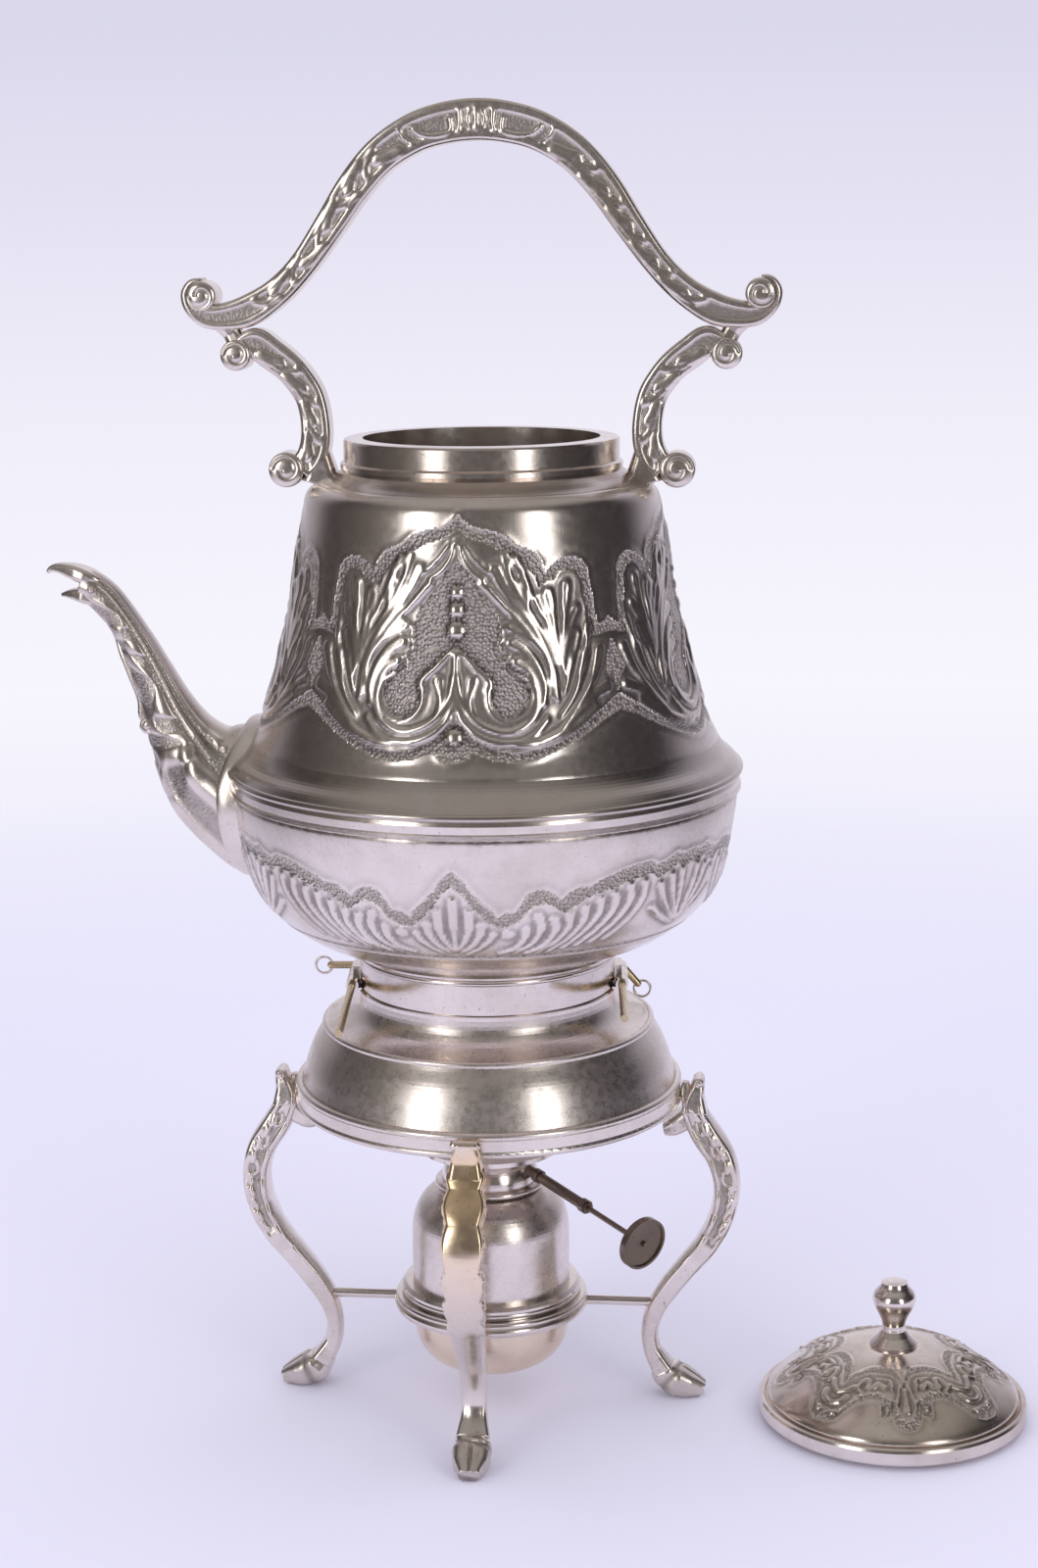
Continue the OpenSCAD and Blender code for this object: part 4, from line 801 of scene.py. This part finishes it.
class Tree:
    """Shader nodes of a material or a world, added one call at a time."""

    def __init__(self, holder):
        holder.use_nodes = True
        self.t = holder.node_tree
        self.t.nodes.clear()

    def add(self, kind, inputs=None, **props):
        """A node of a kind with its properties set and its inputs linked or filled in."""
        n = self.t.nodes.new("ShaderNode" + kind)
        for k, v in props.items():
            setattr(n, k, v)
        for k, v in (inputs or {}).items():
            if isinstance(v, bpy.types.NodeSocket):
                self.t.links.new(v, n.inputs[k])
            else:
                n.inputs[k].default_value = v
        return n

    def math(self, op, a, b=0.0, clamp=False):
        """One sum, product or other operation on two values."""
        return self.add("Math", {0: a, 1: b}, operation=op, use_clamp=clamp).outputs[0]

    def blend(self, share, a, b):
        """Colour a, giving way to colour b by a share."""
        return self.add("Mix", {0: share, 6: a, 7: b}, data_type="RGBA").outputs[2]

    def ramp(self, value, low, high, to_low=0.0, to_high=1.0):
        """A straight ramp over a value, held level beyond both ends."""
        n = self.add("MapRange", {0: value, 1: low, 2: high, 3: to_low, 4: to_high})
        return n.outputs[0]

    def noise(self, vector, scale, detail=4.0, rough=0.55):
        """Fractal noise from 0 to 1."""
        n = self.add("TexNoise", {"Vector": vector, "Scale": scale, "Detail": detail,
                                  "Roughness": rough})
        return n.outputs[0]

    def mark(self, name):
        """A value that the mesh holds for each point."""
        return self.add("Attribute", attribute_name=name).outputs["Fac"]

    def length(self, vector):
        """Length of a vector."""
        return self.add("VectorMath", {0: vector}, operation="LENGTH").outputs["Value"]


def rgba(c, k=1.0):
    """A colour k times as strong, with full cover."""
    return (c[0] * k, c[1] * k, c[2] * k, 1.0)


# Chased work: pits of the grained ground in a metre, their depth in m, how much of the oxide
# lies in the pits and in the recesses, and how much rougher both are
PITS, PIT_DEPTH, PIT_DARK, DEEP_DARK, DEEP_ROUGH = 950.0, 0.00045, 0.42, 0.6, 0.24


def brushed(t, parts, upright):
    """Fine brush lines: noise drawn out round the piece, or up it."""
    angle = t.math("ARCTAN2", parts[1], parts[0])
    radius = t.length(t.add("CombineXYZ", {0: parts[0], 1: parts[1], 2: 0.0}).outputs[0])
    if upright:
        drawn = {0: t.math("MULTIPLY", angle, 0.9), 1: t.math("MULTIPLY", parts[2], 0.35),
                 2: t.math("MULTIPLY", radius, 0.3)}
    else:
        drawn = {0: t.math("MULTIPLY", angle, 0.012), 1: radius, 2: parts[2]}
    lines = t.add("CombineXYZ", drawn).outputs[0]
    return t.noise(lines, 150.0 if upright else 1700.0, 5.0, 0.7)


def metal(name, clean, tarnish, dark, rough=0.2, stain=0.5, chased=False, brush=0.5,
          upright=False, specks=0.5, axis=None, worn_to=None, stain_line=None):
    """Worn metal: a clean colour that gives way to tarnish in soft patches, by the share stain,
    with fine brushing round the axis or up the piece, and dark specks. chased work has oxide in
    its recesses and a grained ground. worn_to is a colour that shows through near the top of the
    front leg, and stain_line is the height of a broken line of tarnish."""
    mat = bpy.data.materials.new(name)
    t = Tree(mat)
    at = t.add("TexCoord").outputs["Object"]
    if axis is not None:
        middle = (-axis[0] * MM, -axis[1] * MM, 0)
        at = t.add("Mapping", {"Vector": at, "Location": middle}).outputs[0]
    patch = t.ramp(t.noise(at, 34.0, 6.0, 0.62), 0.42, 0.72)
    fine = t.noise(at, 420.0, 3.0, 0.7)
    spot = t.ramp(t.noise(at, 900.0, 1.0, 0.5), 0.68, 0.78)
    parts = t.add("SeparateXYZ", {0: at}).outputs
    worn = t.math("MULTIPLY", patch, stain, True)
    tone = t.blend(worn, rgba(clean), rgba(tarnish))
    if worn_to is not None:
        ragged = t.math("ADD", parts[2], t.math("MULTIPLY", t.noise(at, 90.0), 0.022))
        band = t.math("MULTIPLY", t.ramp(ragged, 0.062, 0.1), t.ramp(ragged, 0.124, 0.108), True)
        tone = t.blend(t.math("MULTIPLY", band, 0.7), tone, rgba(worn_to))
    if stain_line is not None:
        off = t.math("ABSOLUTE", t.math("SUBTRACT", parts[2], stain_line))
        off = t.math("ADD", off, t.math("MULTIPLY", t.noise(at, 260.0, 5.0, 0.7), 0.006))
        tone = t.blend(t.ramp(off, 0.0042, 0.0026, 0.0, 0.6), tone, rgba(dark, 2.2))
    tone = t.blend(t.math("MULTIPLY", spot, specks, True), tone, rgba(dark, 3.0))
    roughness = t.math("ADD", t.ramp(fine, 0.3, 0.7, rough * 0.8, rough * 1.25),
                       t.math("MULTIPLY", worn, 0.12))
    height = t.math("ADD", t.math("MULTIPLY", brushed(t, parts, upright), brush),
                    t.math("MULTIPLY", fine, 0.16))
    normal = t.add("Bump", {"Strength": 0.05, "Distance": 0.0004, "Height": height}).outputs[0]
    if chased:
        cells = t.add("TexVoronoi", {"Vector": at, "Scale": PITS, "Randomness": 0.8})
        grain, deep = t.mark("grain"), t.mark("deep")
        dots = t.math("MULTIPLY", grain, t.ramp(cells.outputs["Distance"], 0.2, 0.7))
        normal = t.add("Bump", {"Strength": 1.0, "Distance": PIT_DEPTH, "Normal": normal,
                                "Height": t.math("MULTIPLY", dots, -1.0)}).outputs[0]
        shade = t.math("ADD", t.math("MULTIPLY", deep, DEEP_DARK),
                       t.math("MULTIPLY", dots, PIT_DARK), True)
        shade = t.math("MULTIPLY", shade, t.ramp(fine, 0.2, 0.8, 0.7, 1.1), True)
        tone = t.blend(shade, tone, rgba(dark))
        roughness = t.math("ADD", roughness,
                           t.math("MULTIPLY", t.math("MAXIMUM", grain, deep), DEEP_ROUGH))
    shader = t.add("BsdfPrincipled", {"Base Color": tone, "Metallic": 1.0,
                                      "Roughness": roughness, "Normal": normal})
    t.add("OutputMaterial", {"Surface": shader.outputs[0]})
    return mat


def cotton(name):
    """Pale cotton in fine upright strands."""
    mat = bpy.data.materials.new(name)
    t = Tree(mat)
    at = t.add("TexCoord").outputs["Object"]
    strand = t.add("TexWave", {"Vector": at, "Scale": 700.0, "Distortion": 2.0}).outputs["Fac"]
    tone = t.blend(strand, (0.62, 0.56, 0.46, 1), (0.86, 0.82, 0.74, 1))
    normal = t.add("Bump", {"Strength": 0.5, "Distance": 0.0004, "Height": strand}).outputs[0]
    shader = t.add("BsdfPrincipled", {"Base Color": tone, "Roughness": 0.9, "Normal": normal})
    t.add("OutputMaterial", {"Surface": shader.outputs[0]})
    return mat


def finishes(look):
    """Every finish by name."""
    s, w, d = tuple(look.silver), tuple(look.tarnish), tuple(look.oxide)
    dusky = [v * 0.9 for v in s]
    # The kettle's inside is the same silver at 0.72: painted shade inside the closed body
    shaded_inside = [v * 0.72 for v in s]
    warm = [v * k for v, k in zip(s, (0.94, 0.92, 0.88))]
    return {
        "upper": metal("chased_dark_silver", dusky, w, d, 0.19, 0.3, True, 0.6, True, 0.2),
        "lower": metal("chased_pale_silver", s, w, d, 0.23, 0.5, True, 0.4, specks=0.25,
                       stain_line=0.1968),
        "turned": metal("turned_silver", s, w, d, 0.17, 0.5, brush=1.0),
        "spun": metal("spun_silver", s, w, d, 0.27, 0.5, brush=0.9, specks=0.12),
        "inside": metal("kettle_inside_painted_shade", shaded_inside, w, d, 0.18, 0.6, False, 0.6, True, 0.2),
        "cast": metal("cast_silver", s, w, d, 0.22, 0.5, True, 0.2),
        "gilt": metal("cast_silver_worn_to_brass", s, w, d, 0.2, 0.4, True, 0.2,
                      worn_to=(0.98, 0.69, 0.36)),
        "lid": metal("lid_silver", warm, w, d, 0.17, 0.9, True, 0.8, axis=LID_AT),
        "lid_plain": metal("lid_turned_silver", s, w, d, 0.15, 0.8, brush=1.0, axis=LID_AT),
        "brass": metal("pin_brass", look.brass, w, d, 0.26, 0.6),
        "copper": metal("copper_plate", look.copper, w, d, 0.2, 0.4),
        "dark": metal("dark_metal", look.dark_metal, d, d, 0.3, 0.5),
        "cotton": cotton("wick_cotton"),
    }


# Finish of each carried-over node; the others are turned silver
FINISH_OF = {
    "stand_dome": "spun", "stand_rim_band": "spun", "burner_reservoir": "spun",
    # The two shells take the darker inside silver, which is painted shade
    "kettle_upper_shell": "inside", "kettle_lower_bowl": "inside", "burner_base_bowl": "copper",
    "retaining_pin_left": "brass", "retaining_pin_right": "brass", "wick_wheel": "brass",
    "lid_knob_nut": "brass", "winder_sleeve": "dark", "winder_spindle": "dark",
    "winder_knob": "dark", "wick": "cotton", "lid_dome": "lid_plain", "lid_rim_band": "lid_plain",
    "lid_locating_lip": "lid_plain", "lid_knob": "lid_plain",
}


# ---- settings and operators


def colour(name, text, value):
    """A colour that a user can change."""
    return bpy.props.FloatVectorProperty(name=name, description=text, subtype="COLOR", size=3,
                                         min=0, max=1, default=value)


def size(name, text, value):
    """A length in mm that a user can change, kept in metres."""
    return bpy.props.FloatProperty(name=name, description=text, unit="LENGTH", subtype="DISTANCE",
                                   min=value * MM / 2, max=value * MM * 2, default=value * MM)


class KettleLook(bpy.types.PropertyGroup):
    """Colours and sizes of the kettle's visible pieces"""
    silver: colour("Silver", "Clean silver plate", (0.82, 0.745, 0.695))
    tarnish: colour("Tarnish", "Warm tarnish on the silver", (0.50, 0.41, 0.335))
    oxide: colour("Oxide", "Dark oxide in the recesses", (0.07, 0.062, 0.056))
    brass: colour("Brass", "Brass of the pins", (0.62, 0.50, 0.30))
    copper: colour("Copper", "Copper-toned plate of the burner's base", (0.87, 0.73, 0.58))
    dark_metal: colour("Dark metal", "Dark metal of the winder", (0.27, 0.215, 0.18))
    backdrop: colour("Backdrop", "Floor and background", (0.84, 0.83, 0.96))
    arch_width: size("Handle width", "Width of the arched handle, front to back", 10)
    bracket_width: size("Bracket width", "Width of the scroll brackets, front to back", 9)
    relief: bpy.props.FloatProperty(name="Relief", description="Height of the chased work, as a "
                                    "share of its usual height", subtype="FACTOR", default=1.0,
                                    min=0.2, max=1.5)


class KETTLE_OT_stage(bpy.types.Operator):
    """Makes the floor, the lights, the world and the camera"""
    bl_idname = "kettle.stage"
    bl_label = "Stage"

    def execute(self, context):
        look = context.scene.kettle_look
        make_world()
        make_floor(look.backdrop)
        make_lights()
        make_camera()
        return {"FINISHED"}


class KETTLE_OT_plain(bpy.types.Operator):
    """Gives every carried-over node its finish"""
    bl_idname = "kettle.plain"
    bl_label = "Plain parts"

    def execute(self, context):
        for name, node in NODES.items():
            node.data.materials.clear()
            node.data.materials.append(MATERIALS[FINISH_OF.get(name, "turned")])
        return {"FINISHED"}


class KETTLE_OT_body(bpy.types.Operator):
    """Makes the chased skins of the kettle's two halves"""
    bl_idname = "kettle.body"
    bl_label = "Kettle body"

    def execute(self, context):
        share = context.scene.kettle_look.relief
        closed_skin("chased_upper_body", chase_upper(), share, 4, KETTLE_YAW,
                    ("kettle", "dark_body_plate", MATERIALS["upper"]))
        closed_skin("chased_lower_bowl", chase_lower(), share, 3, KETTLE_YAW,
                    ("kettle", "worn_silver_plate", MATERIALS["lower"]))
        return {"FINISHED"}


class KETTLE_OT_spout(bpy.types.Operator):
    """Makes the cast spout"""
    bl_idname = "kettle.spout"
    bl_label = "Spout"

    def execute(self, context):
        make_spout(MATERIALS["cast"])
        make_flange(MATERIALS["cast"])
        return {"FINISHED"}


class KETTLE_OT_handle(bpy.types.Operator):
    """Makes the handle and its brackets"""
    bl_idname = "kettle.handle"
    bl_label = "Handle"

    def execute(self, context):
        look = context.scene.kettle_look
        make_handle(MATERIALS["cast"], look.arch_width / MM, look.bracket_width / MM)
        return {"FINISHED"}


class KETTLE_OT_legs(bpy.types.Operator):
    """Makes the four legs"""
    bl_idname = "kettle.legs"
    bl_label = "Legs"

    def execute(self, context):
        make_legs(MATERIALS["cast"], MATERIALS["gilt"])
        return {"FINISHED"}


class KETTLE_OT_lid(bpy.types.Operator):
    """Makes the chased skin of the lid"""
    bl_idname = "kettle.lid"
    bl_label = "Lid"

    def execute(self, context):
        share = context.scene.kettle_look.relief
        closed_skin("chased_lid", chase_lid(), share, 4, LID_YAW,
                    ("lid", "worn_silver_plate", MATERIALS["lid"]), LID_AT)
        return {"FINISHED"}


class KETTLE_PT_panel(bpy.types.Panel):
    """Settings and steps of the spirit kettle"""
    bl_label = "Spirit kettle"
    bl_idname = "KETTLE_PT_panel"
    bl_space_type = "VIEW_3D"
    bl_region_type = "UI"
    bl_category = "Kettle"

    def draw(self, context):
        look = context.scene.kettle_look
        for key in KettleLook.__annotations__:
            self.layout.prop(look, key)
        for step in STEPS:
            self.layout.operator(step.bl_idname)


STEPS = (KETTLE_OT_stage, KETTLE_OT_plain, KETTLE_OT_body, KETTLE_OT_spout, KETTLE_OT_handle,
         KETTLE_OT_legs, KETTLE_OT_lid)
MATERIALS = {}

# ---- studio

# What polished metal sees round the studio: azimuth from -Y in degrees, and colour
ROOM = [(-180, (0.86, 0.84, 0.93)), (-150, (0.60, 0.58, 0.66)), (-125, (0.34, 0.32, 0.36)),
        (-112, (0.10, 0.09, 0.09)), (-104, (0.05, 0.045, 0.045)), (-80, (0.10, 0.09, 0.085)),
        (-60, (0.17, 0.155, 0.145)), (-42, (0.28, 0.265, 0.25)), (-15, (0.16, 0.15, 0.145)),
        (6, (0.125, 0.115, 0.11)), (40, (0.17, 0.16, 0.155)), (62, (0.075, 0.07, 0.068)),
        (80, (0.04, 0.036, 0.036)), (110, (0.028, 0.026, 0.028)), (118, (0.14, 0.13, 0.15)),
        (129, (0.34, 0.33, 0.38)), (150, (0.62, 0.60, 0.70)), (180, (0.86, 0.84, 0.93))]
# Backdrop that the camera sees: share of the direction that points up, and colour
DROP = [(-0.34, (0.76, 0.74, 0.90)), (-0.25, (0.84, 0.83, 0.95)), (-0.17, (0.93, 0.92, 0.99)),
        (-0.07, (0.87, 0.85, 0.95)), (0.06, (0.71, 0.69, 0.84))]
# What metal sees overhead, and low in front; and what everything else is lit by
OVERHEAD, LOW_FRONT, EVEN = (0.40, 0.38, 0.37), (0.05, 0.04, 0.035), (0.93, 0.92, 0.99)


def ramp_of(tree, value, stops, low, high):
    """Colour ramp over a value from low to high."""
    n = tree.add("ValToRGB", {0: tree.ramp(value, low, high)})
    bar = n.color_ramp.elements
    while len(bar) < len(stops):
        bar.new(0.5)
    for e, (at, tone) in zip(bar, stops):
        e.position = (at - low) / (high - low)
        e.color = rgba(tone)
    return n.outputs[0]


def make_world():
    """Pale to the camera; to metal a dark room in front with the pale backdrop behind, by the
    direction alone; and plain and even to everything else."""
    world = bpy.data.worlds.new("studio")
    bpy.context.scene.world = world
    t = Tree(world)
    way = t.add("SeparateXYZ", {0: t.add("TexCoord").outputs["Generated"]}).outputs
    azimuth = t.math("DEGREES", t.math("ARCTAN2", way[0], t.math("MULTIPLY", way[1], -1.0)))
    room = ramp_of(t, azimuth, ROOM, -180, 180)
    room = t.blend(t.ramp(way[2], 0.62, 0.9), room, rgba(OVERHEAD))
    low = t.math("MULTIPLY", t.ramp(way[2], 0.06, -0.12), t.ramp(way[1], 0.1, -0.3))
    room = t.blend(t.math("MULTIPLY", low, 0.5), room, rgba(LOW_FRONT))
    path = t.add("LightPath").outputs
    shiny = t.math("MAXIMUM", path["Is Glossy Ray"], path["Is Transmission Ray"])
    unseen = t.blend(shiny, rgba(EVEN), room)
    tone = t.blend(path["Is Camera Ray"], unseen, ramp_of(t, way[2], DROP, -0.34, 0.06))
    ground = t.add("Background", {"Color": tone, "Strength": 1.0})
    t.add("OutputWorld", {"Surface": ground.outputs[0]})


def make_floor(backdrop):
    """Round floor that fades into the background between 0.45 and 0.95 m from a point a little
    in front of the kettle."""
    cols = 96
    rho = np.r_[0.001, np.linspace(0.05, 1.25, 20)]
    a = np.linspace(0, TURN, cols, endpoint=False)
    rr, aa = np.meshgrid(rho, a, indexing="ij")
    xyz = np.stack([rr * np.cos(aa), rr * np.sin(aa), 0 * rr - 0.0002], -1).reshape(-1, 3)
    mesh = bpy.data.meshes.new("floor")
    faces = quads(len(rho), cols)[:, ::-1].tolist() + [list(range(cols))]
    mesh.from_pydata(xyz.tolist(), [], faces)
    mat = bpy.data.materials.new("pale_floor")
    t = Tree(mat)
    at = t.add("TexCoord").outputs["Object"]
    spread = t.add("Mapping", {"Vector": at, "Location": (0, 0.12, 0), "Scale": (1, 0.85, 1)})
    away = t.length(spread.outputs[0])
    faint = t.ramp(t.noise(at, 6.0, 3.0), 0.3, 0.7, 0.0, 0.05)
    cloth = t.add("BsdfDiffuse", {"Color": t.blend(faint, rgba(backdrop), (0.74, 0.72, 0.84, 1))})
    clear = t.add("BsdfTransparent")
    mix = t.add("MixShader", {0: t.ramp(away, 0.45, 0.95), 1: cloth.outputs[0],
                              2: clear.outputs[0]})
    t.add("OutputMaterial", {"Surface": mix.outputs[0]})
    mesh.materials.append(mat)
    floor = bpy.data.objects.new("floor", mesh)
    bpy.context.scene.collection.objects.link(floor)


def lamp(name, azimuth, height, distance, wide, tall, power):
    """Soft box at an azimuth in degrees from -Y, aimed at the middle of the kettle."""
    data = bpy.data.lights.new(name, "AREA")
    data.shape, data.size, data.size_y, data.energy = "ELLIPSE", wide, tall, power
    ob = bpy.data.objects.new(name, data)
    bpy.context.scene.collection.objects.link(ob)
    a = math.radians(azimuth)
    ob.location = (distance * math.sin(a), -distance * math.cos(a), height)
    ob.rotation_mode = "QUATERNION"
    ob.rotation_quaternion = (Vector((0, 0, 0.2)) - ob.location).to_track_quat("-Z", "Y")


def make_lights():
    """Two tall soft boxes in front, left and right."""
    lamp("softbox_left", -33, 0.52, 1.6, 0.56, 1.16, 4.6)
    lamp("softbox_right", 41, 0.52, 1.6, 0.48, 1.10, 3.8)


# Camera as fitted to the photograph: place in m, lens in mm, and azimuth, pitch and roll in
# degrees
CAMERA_AT, CAMERA_LENS = (0.08979, -0.80851, 0.36890), 62.62
CAMERA_TURNS = (5.621, -11.935, -0.5255)


def make_camera():
    """The photograph's view. The camera looks along the azimuth and pitch, and its right and up
    are turned about that direction by the roll."""
    data = bpy.data.cameras.new("camera")
    data.sensor_fit, data.sensor_width, data.lens = "AUTO", 36.0, CAMERA_LENS
    data.clip_start, data.clip_end = 0.01, 20
    cam = bpy.data.objects.new("camera", data)
    bpy.context.scene.collection.objects.link(cam)
    az, pitch, roll = (math.radians(v) for v in CAMERA_TURNS)
    ahead = np.array([-math.sin(az) * math.cos(pitch), math.cos(az) * math.cos(pitch),
                      math.sin(pitch)])
    level = np.cross(ahead, [0, 0, 1])
    level /= np.linalg.norm(level)
    over = np.cross(level, ahead)
    right = math.cos(roll) * level + math.sin(roll) * over
    up = -math.sin(roll) * level + math.cos(roll) * over
    m = Matrix(np.array([right, up, -ahead]).T.tolist()).to_4x4()
    m.translation = CAMERA_AT
    cam.matrix_world = m
    bpy.context.scene.camera = cam
    bpy.context.scene.view_settings.view_transform = "Standard"


def register():
    """Makes the settings, the steps and the panel known to Blender."""
    for cls in (KettleLook, *STEPS, KETTLE_PT_panel):
        bpy.utils.register_class(cls)
    bpy.types.Scene.kettle_look = bpy.props.PointerProperty(type=KettleLook)


def unregister():
    """Takes them away again."""
    del bpy.types.Scene.kettle_look
    for cls in (KETTLE_PT_panel, *reversed(STEPS), KettleLook):
        bpy.utils.unregister_class(cls)


def main():
    register()
    MATERIALS.update(finishes(bpy.context.scene.kettle_look))
    bpy.ops.kettle.stage()
    bpy.ops.kettle.plain()
    bpy.ops.kettle.body()
    bpy.ops.kettle.spout()
    bpy.ops.kettle.handle()
    bpy.ops.kettle.legs()
    bpy.ops.kettle.lid()


if __name__ == "__main__":
    main()
